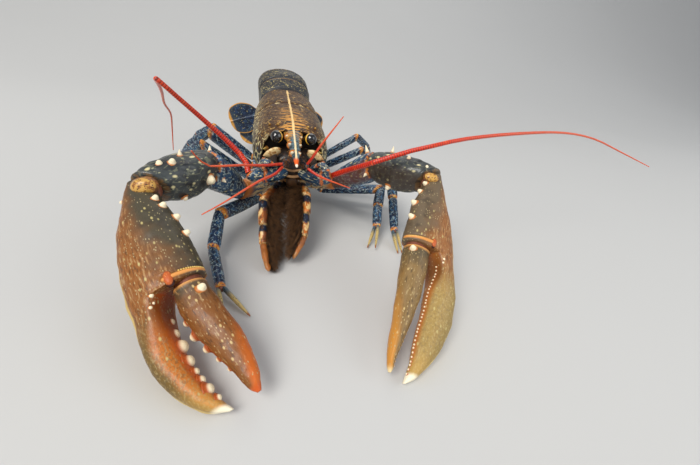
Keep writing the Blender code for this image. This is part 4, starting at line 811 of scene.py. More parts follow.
def make_cheliped(name, side, tag, claw, looks):
    joints = vectors(claw["joints"])
    joints[0] = beside_sternum(joints[0], side)
    claw = dict(claw, joints=joints)
    along, across, normal = claw_frame(joints, claw["roll"], side)
    planes = [(joints[0], np.array([side, 0.0, 0.0])), *joint_planes(joints[:4]),
              halving_plane(joints[3], joints[3] - joints[2], along)]
    make_arm(name, tag, claw, planes, bend_normal(*joints[1:4]), looks)
    blade = (joints[3], along, across, normal, np.linalg.norm(joints[4] - joints[3]))
    make_palm(name, tag, claw, blade, planes[3], looks)
    make_dactyl(name, tag, claw, blade, looks)


def make_legs(looks):
    for leg, points in LEGS.items():
        pair, tag = leg.split("_")
        side = 1 if tag == "l" else -1
        joints = vectors(points)
        joints[0] = beside_sternum(joints[0], side)
        root, hip, knee, wrist, finger, tip = joints
        bulk = LEG_THICKNESS[pair]
        pincer = leg in FIXED_TIP
        hint = bend_normal(hip, knee, wrist)
        hint = hint if hint[1] > 0 else -hint
        keys = {part: scaled(rows, bulk) for part, rows in LEG_KEYS.items()}
        onward = unit(finger - wrist)
        at_hip, at_knee, at_wrist, palm_end = joint_planes(joints)
        palm_end = (finger, onward) if pincer else palm_end
        seed = 100 + 10 * int(pair) + (side > 0)
        form = Form()
        segment(form, root, hip, keys["root"], hint, (root, np.array([side, 0.0, 0.0])), at_hip,
                gaps=(True, False), seed=seed)
        last = segment(form, hip, knee, keys["thigh"], hint, at_hip, at_knee, gaps=(False, True),
                       seed=seed + 1)
        cuff(form, last[-1], at_knee[1], 1.6, 0.8)
        form.make(f"leg_{pair}_upper_{tag}", looks["leg"])
        form = Form()
        segment(form, knee, wrist, keys["shin"], hint, at_knee, at_wrist, gaps=(True, False), seed=seed + 2)
        last = segment(form, wrist, finger, keys["palm"], hint, at_wrist, palm_end, gaps=(False, True),
                       seed=seed + 3)
        cuff(form, last[-1], palm_end[1], 1.2, 0.8)
        toe, apart, start = keys["toe"], hint, finger
        if pincer:
            fixed_tip = np.array(FIXED_TIP[leg], float)
            apart = square_to(onward, tip - fixed_tip)
            offset = apart * PINCER_SPREAD * bulk
            segment(form, finger - onward * 4.0 - offset, fixed_tip, keys["finger"], apart, None, None, 24,
                    0.5, relief=0.05, tint=1.0, seed=seed + 4)
            toe, start = keys["finger"], finger + offset
        form.make(f"leg_{pair}_lower_{tag}", looks["leg"])
        form = Form()
        segment(form, start, tip, toe, apart, palm_end, None, 28, 0.4, relief=0.05, tint=1.0, seed=seed + 5)
        form.make(f"leg_{pair}_toe_{tag}", looks["leg"])


def make_carapace(looks):
    shares = dense(200, (0.0, 0.03, 8), (0.97, 1.0, 8))
    y = CARAPACE[0][0] + shares * (CARAPACE[-1][0] - CARAPACE[0][0])
    half, middle, top, bottom = eased(CARAPACE, y).T
    across, lift = superellipse(220, CARAPACE_POWER)
    x = half[:, None] * across
    z = middle[:, None] + np.where(lift > 0, (top - middle)[:, None], (middle - bottom)[:, None]) * lift
    rings = stacked(x, y[:, None], z)
    angle = np.degrees(np.arccos(np.clip(lift, -1, 1)))[None, :]
    groove_y = GROOVE_Y - GROOVE_SWEEP * (angle / 105.0) ** GROOVE_POWER
    groove = hump(y[:, None], groove_y, GROOVE_HALF_WIDTH) * smoothstep(118, 100, angle)
    midline = hump(x, 0.0, 0.7) * smoothstep(64, 70, y)[:, None] * (lift > 0)
    rear = hump(y, REAR_FURROW_Y, 0.9)[:, None]
    height = -1.5 * groove - 0.35 * midline - 0.8 * rear + 0.25 * ripple(rings, 14.0, 31)
    rings = displaced(rings, height * smoothstep(0.0, 0.02, shares)[:, None])
    middle = np.array([0.0, 0.0, 60.0])
    # The third column of the hollow darkens its rings with painted shade, carried by the soft paint.
    size, depth, dark = np.array(FACE_HOLLOW).T
    hollow = middle + (rings[0] - middle) * size[:, None, None] + depth[:, None, None] * Y
    form = Form()
    form.loft(np.concatenate([hollow, rings]), along=np.r_[0 * dark, shares][:, None], cross=across,
              face=lift, tint=np.vstack([np.zeros((len(dark), len(across))), groove]),
              soft=np.r_[dark, 0 * shares][:, None])
    base = np.array(ROSTRUM_BASE)
    onward = np.array(ROSTRUM_TIP) - base
    shares = dense(110, (0.95, 1.0, 10))
    half, above, below = eased(ROSTRUM, shares).T
    across, lift = superellipse(48, 2.0)
    centre = base + shares[:, None] * onward + np.outer(ROSTRUM_ARCH * shares * (1 - shares), Z)
    depth = np.where(lift > 0, above[:, None], below[:, None])
    rings = rings_about(centre[:, None], X, Z, half[:, None] * across, depth * lift)
    form.loft(rings, along=shares[:, None], cross=across, face=lift, tint=-1.0)
    for side in (-1, 1):
        for share, size in ROSTRUM_TEETH:
            width = eased(ROSTRUM, share)[0][0]
            arch = ROSTRUM_ARCH * share * (1 - share) + 0.8
            root = base + onward * share + np.array([side * width * 0.8, 0, arch])
            domed(form, root, np.array([side * 0.35, -0.8, 0.42]), 1.55 if side < 0 else 1.05, size * 0.8)
        for *spine, radius in CARAPACE_SPINES:
            root, out = mirrored(spine, side)
            domed(form, root, out, radius * 0.75, np.linalg.norm(out) * 0.9, 4.0)
    form.make("carapace", looks["carapace"])


def make_sternum(looks):
    shares = np.linspace(0, 1, 90)
    y = STERNUM[0][0] + shares * (STERNUM[-1][0] - STERNUM[0][0])
    half, bottom = eased(STERNUM, y).T
    angle = np.linspace(0, math.pi, 40)
    drop = np.sqrt(np.sin(angle))
    across = signed_power(np.cos(angle), 0.5)
    ridge = STERNUM_RIB * np.sin((y - y[0]) / STERNUM_RIB_SPACING * 2 * math.pi)[:, None] * drop
    z = STERNUM_TOP_Z - (STERNUM_TOP_Z - bottom)[:, None] * drop + ridge
    form = Form()
    form.loft(stacked(half[:, None] * across, y[:, None], z), along=shares[:, None], cross=across)
    form.make("sternum", looks["cream"])


def make_epistome(looks):
    form = Form()
    for rows, sides, tint in ((EPISTOME, 90, 0.0), (JAWS, 60, 1.0)):
        keys = [(-row[0], *row[1:]) for row in rows]
        y = -np.linspace(keys[0][0], keys[-1][0], 60)
        half, top, bottom = eased(keys, -y).T
        across, lift = superellipse(sides, 2.6)
        z = ((top + bottom) / 2)[:, None] + ((top - bottom) / 2)[:, None] * lift
        form.loft(stacked(half[:, None] * across, y[:, None], z), cross=across, face=lift, tint=tint,
                  along=((y - y[0]) / (y[-1] - y[0]))[:, None])
    for points, radius in ((LIP, 1.15), (BROW, 0.9)):
        end = np.sin(np.linspace(0.06, 0.94, 60) * math.pi) ** 0.5 * radius
        across, lift = superellipse(18, 2.0)
        path = smooth_path(points, 60)[:, None]
        form.loft(rings_about(path, Y, Z, end[:, None] * across, end[:, None] * lift),
                  along=np.linspace(0, 1, 60)[:, None], soft=1.0)
    form.make("epistome", looks["face"])


def heading_axes(turn):
    """Ahead and upward directions at a heading in radians above level, towards the tail."""
    return np.array([0.0, math.cos(turn), math.sin(turn)]), np.array([0.0, -math.sin(turn), math.cos(turn)])


def abdomen_path():
    """Boundary points on the back line and the headings in the planes between segments."""
    points = [np.array([0.0, *ABDOMEN_START])]
    headings = [0.0]
    for row, following in zip(ABDOMEN, [*ABDOMEN[1:], ABDOMEN[-1]]):
        points.append(points[-1] + row[0] * heading_axes(math.radians(row[1]))[0])
        headings.append((row[1] + following[1]) / 2)
    return points, headings


def swing(rings):
    """Moves part of the tail sideways, more towards its end."""
    points, headings = abdomen_path()
    share = np.clip((rings[..., 1] - points[0][1]) / (points[-1][1] - points[0][1]), 0, 1)
    moved = rings.copy()
    moved[..., 0] -= TAIL_SWING * share ** 2
    return moved


def tergite(half_width, depth, pleura):
    """Outline of one tail ring: a dome with a pleura hanging on each side of a vaulted belly."""
    dome = 0.62 * depth
    arc = np.radians(np.linspace(0, 180, 90))
    arch = np.column_stack([half_width * np.cos(arc), -dome + dome * np.sin(arc) ** 0.9])
    t = np.linspace(0, 1, 16)[1:]
    corners = [(-half_width, -dome), (-half_width * 0.99, -depth), (-half_width * 0.93, -pleura),
               (-half_width * 0.80, -depth), (-half_width * 0.5, -depth + 2.0), (0.0, -depth + 2.0)]
    left = np.vstack([np.column_stack([a[0] + (b[0] - a[0]) * t, a[1] + (b[1] - a[1]) * t])
                      for a, b in zip(corners, corners[1:])])
    return np.vstack([arch, left, left[::-1][1:] * np.array([-1.0, 1.0])])


def add_swimmerets(form, i, middle, turn):
    """Two pairs of small paddles under a tail ring."""
    ahead, upward = heading_axes(turn)
    size, wide, thick = SWIMMERETS[i]
    half_width, depth = ABDOMEN[i][2:4]
    shares = np.linspace(0, 1, 30)
    paddle = eased([(0.0, 0.45, 1.5), (0.35, 0.55, 1.2), (0.7, 1.0, 1.0), (1.0, 0.4, 0.8)], shares)
    cross, lift = superellipse(28, 1.9)
    for side in (-1, 1):
        for spot, spread in ((0.62, 0.5), (0.34, 0.1)):
            root = middle + side * spot * half_width * X - upward * (depth - 5.0)
            down = unit(-upward + ahead * 0.25 + side * spread * X)
            across = square_to(down, X)
            centres = root + (shares * (size + 4.0))[:, None, None] * down
            rings = rings_about(centres, across, np.cross(across, down), wide * paddle[:, :1] * cross,
                                thick * paddle[:, 1:] * lift)
            form.loft(swing(rings), along=shares[:, None], tint=1.0)


def make_abdomen(looks):
    points, headings = abdomen_path()
    shares = np.linspace(0, 1, 64)
    band = shares[:, None]
    for i, (length, heading, half_width, depth, pleura) in enumerate(ABDOMEN):
        before = ABDOMEN[max(0, i - 1)]
        after = ABDOMEN[min(i + 1, len(ABDOMEN) - 1)]
        front_width = (before[2] + half_width) / 2 - 0.6
        rear_width = (after[2] + half_width) / 2
        front_depth = (before[3] + depth) / 2 - 1.0
        rear_depth = (after[3] + depth) / 2
        rows = [(0.0, front_width, front_depth, front_depth + 1.0),
                (0.3, half_width, depth, depth + 3.0),
                (0.62, half_width + 0.2, depth, pleura),
                (0.85, rear_width + 0.3, rear_depth, rear_depth + 3.0),
                (1.0, rear_width, rear_depth, rear_depth + 0.8)]
        rings = []
        for share, sizes in zip(shares, eased(rows, shares)):
            ahead, upward = heading_axes(math.radians(headings[i] + (headings[i + 1] - headings[i]) * share))
            centre = points[i] + (points[i + 1] - points[i]) * share
            outline = tergite(*sizes)
            rings.append(centre + ahead * (JOINT_GAP / 2 * (1 - 2 * share)) + outline[:, :1] * X
                         + outline[:, 1:] * upward)
        rings = np.array(rings)
        outline = tergite(half_width, depth, pleura)
        shell = smoothstep(-depth + 4.0, -depth + 8.0, outline[:, 1])
        height = (-1.0 * smoothstep(0.30, 0.24, band) - 0.5 * hump(band, 0.34, 0.04)
                  + 0.35 * smoothstep(0.9, 0.94, band)) * shell + 0.12 * ripple(rings, 9.0, 40 + i)
        form = Form()
        form.loft(swing(displaced(rings, height * faded(shares, 0.05))), along=band,
                  cross=outline[:, 0] / half_width, face=1 + outline[:, 1] / depth)
        if i in SWIMMERETS:
            add_swimmerets(form, i, (points[i] + points[i + 1]) / 2,
                           math.radians((headings[i] + headings[i + 1]) / 2))
        form.make(f"abdomen_{i + 1}", looks["tail"])


def tail_blade(name, base, angle_down, turn_out, length, rows, look):
    """A tail blade along a line in an upright plane, with a raised rib and fine rays."""
    down = math.radians(angle_down)
    along = np.array([turn_out * math.cos(down), 0.0, -math.sin(down)])
    across = np.array([turn_out * math.sin(down), 0.0, math.cos(down)])
    shares = dense(130, (0.97, 1.0, 10))
    half, thick = eased(rows, shares).T
    cross, lift = superellipse(96, 1.7)
    rib = hump(cross * half[:, None], 0.0, 1.1) * smoothstep(0.1, 0.2, shares)[:, None]
    rays = 0.10 * np.cos(cross * 46.0) * smoothstep(0.3, 0.6, shares)[:, None] * (np.abs(cross) < 0.93)
    onward = (shares * length)[:, None]
    wide = half[:, None] * cross
    z = (thick[:, None] + 0.9 * rib + rays) * lift
    rings = rings_about(base + onward[..., None] * along, across, Y, wide, z)
    form = Form()
    form.loft(swing(rings), along=shares[:, None], cross=cross, face=lift, place=stacked(onward, wide, z))
    form.make(name, look)


def widened(rows, half_width):
    return [(share, width * half_width, thick) for share, width, thick in rows]


def make_tail_fan(looks):
    end = abdomen_path()[0][-1]
    tail_blade("telson", end + np.array([0, -3.0, -1.5 * JOINT_GAP]), 90.0, 1, TELSON_LENGTH,
               widened(TELSON_ROWS, TELSON_HALF_WIDTH), looks["fan"])
    for side, tag in SIDES:
        for kind, (length, half_width, down, forward) in UROPODS.items():
            out, rise = UROPOD_BASE[kind]
            base = end + np.array([side * out, -forward, rise])
            tail_blade(f"uropod_{kind}_{tag}", base, down, side, length, widened(UROPOD_ROWS, half_width),
                       looks["fan"])


def make_eyes(looks):
    for side, tag in SIDES:
        centre, root = mirrored([EYE_CENTRE, EYE_ROOT], side)
        axis = unit(centre - root)
        length = np.linalg.norm(centre - root) + EYE_RADIUS
        hint = unit(np.cross(axis, Z))
        shares = np.linspace(0, 1, 60)
        size = eased(EYE_PROFILE, shares) * EYE_RADIUS * 0.95
        across, lift = superellipse(60, 2.0)
        rings = rings_about(root + (shares * length)[:, None, None] * axis, hint, np.cross(hint, axis),
                            size * across, size * lift)
        rings = hold_back(rings, (CARAPACE[0][0] * Y, -Y), axis, JOINT_GAP + 2.0 * shares, False)
        towards = unit(rings - centre)
        form = Form()
        form.loft(rings, along=shares[:, None], cross=across, face=lift,
                  tint=towards @ unit((0.35 * side, -0.9, 0.25)), soft=-side * towards[..., 0])
        form.make(f"eye_{tag}", looks["eye"])


def feeler(form, points, centres, radii, sides, ring_step, start_plane=None):
    """A tapering feeler of many short rings, on the solid's own centre line."""
    path = smooth_path(points, centres)
    path = resampled(path, np.arange(centres), np.linspace(0, centres - 1, centres * 24))
    for _ in range(3):
        path[1:-1] = (path[:-2] + 2 * path[1:-1] + path[2:]) / 4
    length = travelled(path)
    wanted = np.linspace(0, length[-1], int(length[-1] / ring_step * 5))
    path = resampled(path, length, wanted)
    axis = unit(np.gradient(path, axis=0))
    side = np.zeros_like(path)
    side[0] = unit(np.cross(axis[0], Z))
    for i in range(1, len(path)):
        side[i] = square_to(axis[i], side[i - 1])
    beat = wanted / ring_step
    radius = eased(radii, wanted / length[-1]) * (1.0 - 0.07 * hump(beat, np.round(beat), 0.18))[:, None]
    across, lift = superellipse(sides, 2.0)
    rings = rings_about(path[:, None], side[:, None], np.cross(side, axis)[:, None], radius * across,
                        radius * lift)
    if start_plane is not None:
        rings[:12] = hold_back(rings[:12], start_plane, axis[0], JOINT_GAP / 2 + 0.5 * wanted[:12], False)
    form.loft(rings, place=stacked(beat[:, None], radius * across, radius * lift),
              along=(wanted / length[-1])[:, None], cross=across)


def make_feelers(looks):
    start = (FEELER_STALK_POINTS[0][1] * Y, -Y)
    for side, tag in SIDES:
        base = mirrored(FEELER_BASE_POINTS, side) + vectors(ANTENNA[side][:2])
        elbow, end = joint_planes(base)
        form = Form()
        segment(form, *base[:2], FEELER_BASE[0], Z, start, elbow, 56, 0.4, gaps=(True, False), seed=61)
        segment(form, *base[1:3], FEELER_BASE[1], Z, elbow, end, 56, 0.4, gaps=(False, True), seed=62)
        scale = mirrored(FEELER_SCALE_POINTS, side)
        bend = joint_planes(scale)[0]
        hint = (0.3 * side, -0.3, 1.0)
        segment(form, *scale[:2], FEELER_SCALE[0], hint, None, bend, 48, 0.4, gaps=(False, False), seed=63)
        segment(form, *scale[1:], FEELER_SCALE[1], hint, bend, None, 48, 0.4, gaps=(False, False), seed=64)
        segment(form, *mirrored(EYE_POST_POINTS, side), EYE_POST, X, None, None, 36, 0.4, tint=2.0, seed=67)
        segment(form, *mirrored(EYE_PLATE_POINTS, side), EYE_PLATE, (0, -0.35, 1.0), None, None, 48, 0.3,
                tint=1.0, seed=68)
        form.make(f"antenna_base_{tag}", looks["feeler_base"])
        form = Form()
        feeler(form, ANTENNA[side], ANTENNA_CENTRES[side], ANTENNA_RADII, 14, 1.6, end)
        form.make(f"antenna_{tag}", looks["feeler"])
        stalk = mirrored(FEELER_STALK_POINTS, side)
        bend = joint_planes(stalk)[0]
        form = Form()
        segment(form, *stalk[:2], FEELER_STALK[0], X, start, bend, 32, 0.3, gaps=(True, False), relief=0.05,
                seed=65, tint=1.0)
        segment(form, *stalk[1:], FEELER_STALK[1], X, bend, None, 32, 0.3, gaps=(False, False), relief=0.05,
                seed=66, tint=1.0)
        inward = unit(stalk[2] - stalk[1])
        for points in ANTENNULE[side]:
            feeler(form, [np.array(points[0]) - inward * 2.0, *points[1:]], 12, ANTENNULE_RADII, 10, 0.8)
        form.make(f"antennule_{tag}", looks["feeler"])


def make_maxillipeds(looks):
    for side, tag in SIDES:
        points = vectors(MAXILLIPED[side])
        hint = bend_normal(points[0], points[1], points[3])
        planes = [(points[0][1] * Y, -Y), *joint_planes(points), None]
        form = Form()
        for k, rows in enumerate(MAXILLIPED_KEYS):
            segment(form, points[k], points[k + 1], scaled(rows, 1.1), hint, planes[k], planes[k + 1], 44,
                    0.4, gaps=(k == 0, False), relief=0.2, seed=70 + k, tint=k / 3.0)
        form.make(f"maxilliped_{tag}", looks["mouth_leg"])


def make_hair(name, roots, ways, lengths, unwrapped, look):
    """A coat of thin bent strands, each a small patch of the coat's map at its root's place."""
    t = np.array([0.0, 0.4, 0.75, 1.0])
    thin = HAIR_RADIUS * np.array([1.0, 0.8, 0.5, 0.12])
    axis = unit(ways)
    side = unit(np.cross(axis, (0.31, 0.47, 0.83)))
    bent = axis[:, None] * t[:, None] - HAIR_DROOP * Z * (t ** 2)[:, None]
    spine = roots[:, None] + lengths[:, None, None] * bent
    turns = np.array([0.0, 1.0, 2.0]) / 3 * 2 * math.pi
    rings = rings_about(spine[:, :, None], side[:, None, None], np.cross(side, axis)[:, None, None],
                        (thin[:, None] * np.cos(turns))[None], (thin[:, None] * np.sin(turns))[None])
    count = len(roots)
    points = rings.reshape(-1, 3)
    points[:, 2] = np.maximum(points[:, 2], LIFT)
    first = (np.arange(count) * 12)[:, None, None]
    quads = np.array([(3 * k + j, 3 * k + (j + 1) % 3, 3 * k + 3 + (j + 1) % 3, 3 * k + 3 + j)
                      for k in range(3) for j in range(3)])
    quads = (first + quads).reshape(-1, 4)
    caps = (first + np.array([(2, 1, 0), (9, 10, 11)])).reshape(-1, 3)
    along = np.broadcast_to(t[None, :, None], (count, 4, 3)).ravel()
    obj = add_mesh(name, points, quads, caps, {"along": along}, points, look)
    patch = stacked(turns[None, :] / 6.3 * 0.003, t[:, None] * 0.003)
    spread = (unwrapped[:, None, None] + patch[None]).reshape(-1, 2)
    layer = obj.data.uv_layers.new(name="OFBake")
    layer.data.foreach_set("uv", spread[np.r_[quads.ravel(), caps.ravel()]].astype(np.float32).ravel())


def make_mouth_hair(looks):
    """Dark hair on the inner sides of the mouth legs and under the jaws."""
    chance = np.random.default_rng(9)
    for side, tag in SIDES:
        points = vectors(MAXILLIPED[side])
        roots, ways, lengths, unwrapped = [], [], [], []
        for k, (count, reach, thick) in enumerate(MOUTH_HAIR):
            axis = unit(points[k + 1] - points[k])
            inward = square_to(axis, -side * X)
            share = chance.uniform(0.02, 0.98 if k < 3 else 0.8, count)
            turn = chance.uniform(-1.1, 1.1, count)
            out = np.cos(turn)[:, None] * inward + np.sin(turn)[:, None] * np.cross(axis, inward)
            roots.append(points[k] + (share * np.linalg.norm(points[k + 1] - points[k]))[:, None] * axis
                         + out * thick * (1 - 0.25 * share[:, None]))
            ways.append(out * 0.75 + axis * chance.uniform(0.2, 0.9, count)[:, None]
                        + chance.normal(0, 0.16, (count, 3)))
            lengths.append(reach * chance.uniform(0.6, 1.1, count) * (1 - 0.35 * (k == 3) * share))
            unwrapped.append(np.stack([0.04 + 0.23 * (k + share), 0.5 + turn / 6.3], -1))
        make_hair(f"mouth_hair_{tag}", np.vstack(roots), np.vstack(ways), np.concatenate(lengths),
                  np.vstack(unwrapped), looks["hair"])
    across = chance.uniform(-1, 1, CHIN_HAIRS)
    back = chance.uniform(0, 1, CHIN_HAIRS)
    roots = np.stack([across * (7.0 - 1.0 * back), -5.8 + 9.0 * back, 41.0 - 3.0 * (1 - across ** 2)], -1)
    ways = stacked(across * 0.35, -0.55, -0.9) + chance.normal(0, 0.14, (CHIN_HAIRS, 3))
    make_hair("chin_hair", roots, ways, chance.uniform(9.0, 20.0, CHIN_HAIRS),
              np.stack([0.5 + across * 0.4, 0.1 + back * 0.8], -1), looks["hair"])


def linear(colour):
    """Linear colour from a red, green and blue of 0 to 255. A socket stays as it is."""
    if isinstance(colour, bpy.types.NodeSocket):
        return colour
    values = np.array(colour) / 255.0
    return (*np.where(values <= 0.04045, values / 12.92, ((values + 0.055) / 1.055) ** 2.4), 1.0)


class Look:
    """A material laid up from the values painted on a mesh and from procedural patterns, sized in mm.

    A painted value can be given by its name alone.
    """

    def __init__(self, name, coat=0.3, gloss=0.36):
        self.material = bpy.data.materials.new(name)
        self.material.use_nodes = True
        self.tree = self.material.node_tree
        self.shader = self.tree.nodes["Principled BSDF"]
        self.shader.inputs["Coat Weight"].default_value = coat
        self.shader.inputs["Coat Roughness"].default_value = 0.2
        self.shader.inputs["Specular IOR Level"].default_value = gloss
        self.place = self.paint("place", "Vector")

    def node(self, kind, values, **settings):
        made = self.tree.nodes.new(kind)
        for name, value in settings.items():
            setattr(made, name, value)
        for key, value in values.items():
            value = self.paint(value) if isinstance(value, str) else value
            if isinstance(value, bpy.types.NodeSocket):
                self.tree.links.new(value, made.inputs[key])
            else:
                made.inputs[key].default_value = value
        return made

    def paint(self, name, output="Fac"):
        return self.node("ShaderNodeAttribute", {}, attribute_name=name).outputs[output]

    def calc(self, operation, *values):
        return self.node("ShaderNodeMath", dict(enumerate(values)), operation=operation).outputs[0]

    def span(self, value, low, high):
        """Smooth step from 0 at low to 1 at high, or the other way round where low is above high."""
        start, end = (0.0, 1.0) if low < high else (1.0, 0.0)
        values = {"Value": value, "From Min": min(low, high), "From Max": max(low, high), "To Min": start,
                  "To Max": end}
        return self.node("ShaderNodeMapRange", values, interpolation_type="SMOOTHSTEP").outputs["Result"]

    def both(self, *masks):
        return reduce(partial(self.calc, "MULTIPLY"), masks)

    def between(self, value, low, high, edge):
        return self.both(self.span(value, low, low + edge), self.span(value, high, high - edge))

    def mix(self, under, over, *masks):
        values = {0: self.both(*masks), 6: linear(under), 7: linear(over)}
        return self.node("ShaderNodeMix", values, data_type="RGBA").outputs[2]

    def start(self, under, over, *masks):
        self.colour = self.mix(under, over, *masks)

    def lay(self, over, *masks):
        """Lays a colour over all that is there, as far as every mask lets it."""
        self.start(self.colour, over, *masks)

    def stretched(self, stretch):
        return self.node("ShaderNodeVectorMath", {0: self.place, 1: stretch}, operation="MULTIPLY").outputs[0]

    def noise(self, size, detail=2.0, stretch=(1, 1, 1)):
        values = {"Vector": self.stretched(stretch), "Scale": 1.0 / size, "Detail": detail, "Roughness": 0.6}
        return self.node("ShaderNodeTexNoise", values).outputs["Fac"]

    def blots(self, size, low, high, detail=3.0, stretch=(1, 1, 1)):
        return self.span(self.noise(size, detail, stretch), low, high)

    def wander(self, value, size, amount):
        """A value that strays by a noise of that size."""
        return self.calc("MULTIPLY_ADD", self.noise(size), amount, value)

    def cells(self, size, stretch=(1, 1, 1), feature="F1"):
        values = {"Vector": self.stretched(stretch), "Scale": 1.0 / size}
        return self.node("ShaderNodeTexVoronoi", values, feature=feature)

    def flecks(self, size, radius, chance, stretch=(1, 1, 1)):
        """Scattered spots: chance is the share of the cells that hold one."""
        cells = self.cells(size, stretch)
        held = self.span(cells.outputs["Color"], 0.62 - 0.3 * chance, 0.66 - 0.3 * chance)
        return self.both(self.span(cells.outputs["Distance"], radius + 0.1, radius - 0.05), held)

    def net(self, size, width, stretch=(1, 1, 1), broken=0.5):
        """Lines round cells, broken up into dashes."""
        edges = self.cells(size, stretch, "DISTANCE_TO_EDGE").outputs["Distance"]
        return self.both(self.span(edges, width, width * 0.35),
                         self.blots(size * 0.9, broken - 0.05, broken + 0.07, 2.0))

    def finish(self, rough=(0.38, 0.56), pits=0.6, grain=0.9, strength=0.45):
        """Joins the colour, with a varied roughness and a fine pitted relief."""
        values = {"Value": self.noise(4.0, 3.0), "From Min": 0.3, "From Max": 0.7, "To Min": rough[0],
                  "To Max": rough[1]}
        spread = self.node("ShaderNodeMapRange", values).outputs["Result"]
        hollow = self.span(self.cells(grain).outputs["Distance"], 0.05, 0.45)
        relief = self.calc("MULTIPLY_ADD", hollow, pits, self.noise(grain * 0.6, 3.0))
        bump = self.node("ShaderNodeBump", {"Strength": strength, "Distance": 0.00022, "Height": relief})
        self.tree.links.new(self.colour, self.shader.inputs["Base Color"])
        self.tree.links.new(spread, self.shader.inputs["Roughness"])
        self.tree.links.new(bump.outputs[0], self.shader.inputs["Normal"])
        return self.material


def knobbed(look):
    """Lays knobs, teeth, hinge knobs, freckled plates, rim beads and soft joint skin over a shell."""
    made = look.mix(PEARL_ROOT, PEARL, look.span("knob", 0.04, 0.3))
    tooth = look.mix((178, 84, 30), (238, 222, 184), look.span("knob", 0.1, 0.7))
    hinge = look.mix((52, 20, 10), (188, 90, 38), look.span("knob", 0.12, 0.55))
    hinge = look.mix(hinge, (232, 150, 70), look.flecks(0.9, 0.2, 0.9))
    plate = look.mix((104, 62, 26), (206, 158, 76), look.span("knob", 0.05, 0.35))
    plate = look.mix(plate, (150, 96, 40), look.blots(2.2, 0.5, 0.6))
    plate = look.mix(plate, (84, 48, 22), look.flecks(1.3, 0.26, 1.3))
    bead = look.mix((150, 100, 40), (226, 190, 104), look.span("knob", 0.1, 0.5))
    for tint, kind in enumerate((tooth, hinge, plate, bead)):
        made = look.mix(made, kind, look.span("tint", tint + 0.4, tint + 0.6))
    look.lay(made, look.span("knob", 0.0, 0.02))
    look.lay(look.mix(SKIN_PINK, (92, 44, 30), look.noise(1.6)), look.span("soft", 1.2, 1.3))
    return look


def palm_look(name, step, slate, rust, beyond, warm, edge, rim, red, tip):
    """The hand of a large claw: slate within, streaked rust outside, the fixed finger beyond the step, and
    painted shade on the gap's wall by the hinge.
    """
    look = Look(name, 0.12)
    outer = look.calc("MULTIPLY_ADD", "cross", -0.5, 0.5)
    streak = look.noise(1.1, 3.0, (0.22, 1, 1))
    rusty = look.span(look.calc("MULTIPLY_ADD", "along", 1.5, look.wander(outer, 15.0, 0.7)), 1.0, 1.6)
    finger = look.span("along", step + 0.03, step + 0.2)
    look.start(slate, look.mix(slate, INK, 0.45), look.blots(7.0, 0.45, 0.7))
    look.lay(rust, rusty)
    look.lay(look.mix(rust, CREAM, 0.2), look.span(streak, 0.53, 0.64), look.span(rusty, 0.2, 0.9))
    look.lay(look.mix(rust, INK, 0.5), look.span(streak, 0.47, 0.36), rusty)
    look.lay(beyond, finger, look.span(outer, 0.3, 0.55))
    look.lay(warm, finger, look.span(look.wander(outer, 15.0, 0.3), 0.86, 0.5))
    look.lay(look.mix(beyond, CREAM, 0.3), look.blots(0.9, 0.5, 0.62, 3.0, (0.6, 1, 1)), finger, 0.55)
    look.lay(look.mix(slate, beyond, 0.4), look.blots(1.4, 0.52, 0.62, 2.0), finger, 0.45)
    look.lay(edge, look.span("tint", 0.45, 0.95), look.span("along", 0.97, 0.88), 0.8)
    # Painted shade: the wall of the gap near the movable finger's hinge is darkened.
    look.lay(look.mix(rust, INK, 0.55), look.span("tint", 0.2, 0.7),
             look.between("along", step - 0.02, step + 0.2, 0.1), 0.75)
    look.lay(look.mix(edge, rust, 0.55), look.between("along", step, step + 0.24, 0.09),
             look.span(outer, 0.76, 0.5), red)
    look.lay(GOLD, look.span("along", 0.84, 0.96), 0.45)
    look.lay(look.mix(slate, CREAM, 0.5), look.flecks(1.25, 0.16, 1.0, (0.5, 1, 1)),
             look.span("along", step + 0.3, step), 0.8)
    look.lay((196, 180, 118), look.flecks(3.3, 0.13, 0.9, (0.6, 1, 1)), 0.85)
    look.lay((222, 150, 76), look.span("soft", 0.2, 0.7))
    look.lay(rim, look.span(outer, 0.9, 0.945), look.span("along", 0.14, 0.3))
    look.lay(look.mix((208, 136, 70), (150, 84, 36), look.noise(4.0, 3.0)), look.span("face", -0.25, -0.7))
    look.lay((246, 236, 206), look.span("along", tip, tip + 0.02))
    return knobbed(look).finish()


def dactyl_look(name, base, margin, tip, tip_start):
    """The movable finger of a large claw, with a warm outer margin that widens to its tip."""
    look = Look(name, 0.12)
    streak = look.noise(1.2, 3.0, (0.22, 1, 1))
    onward = look.calc("MULTIPLY", "along", "along")
    reach = look.calc("MULTIPLY_ADD", onward, 1.7, look.wander("cross", 6.0, 0.4))
    look.start(SLATE, base, look.span(look.wander("along", 9.0, 0.3), 0.12, 0.4))
    look.lay(look.mix(base, CREAM, 0.2), look.span(streak, 0.57, 0.7))
    look.lay(look.mix(base, INK, 0.5), look.span(streak, 0.45, 0.34))
    look.lay(margin, look.span(reach, 1.15, 2.1))
    look.lay(look.mix(margin, FLAME, 0.4), look.span("cross", -0.8, -0.97), 0.5)
    look.lay((206, 178, 118), look.flecks(2.9, 0.13, 0.9, (0.6, 1, 1)), 0.85)
    look.lay(look.mix(base, CREAM, 0.36), look.flecks(1.2, 0.17, 0.9, (0.5, 1, 1)))
    look.lay(look.mix((200, 124, 60), (146, 76, 32), look.noise(4.0, 3.0)), look.span("face", -0.25, -0.7))
    look.lay((214, 150, 78), look.span("along", 0.035, 0.0))
    look.lay(tip, look.span("along", tip_start, tip_start + 0.05))
    return knobbed(look).finish()


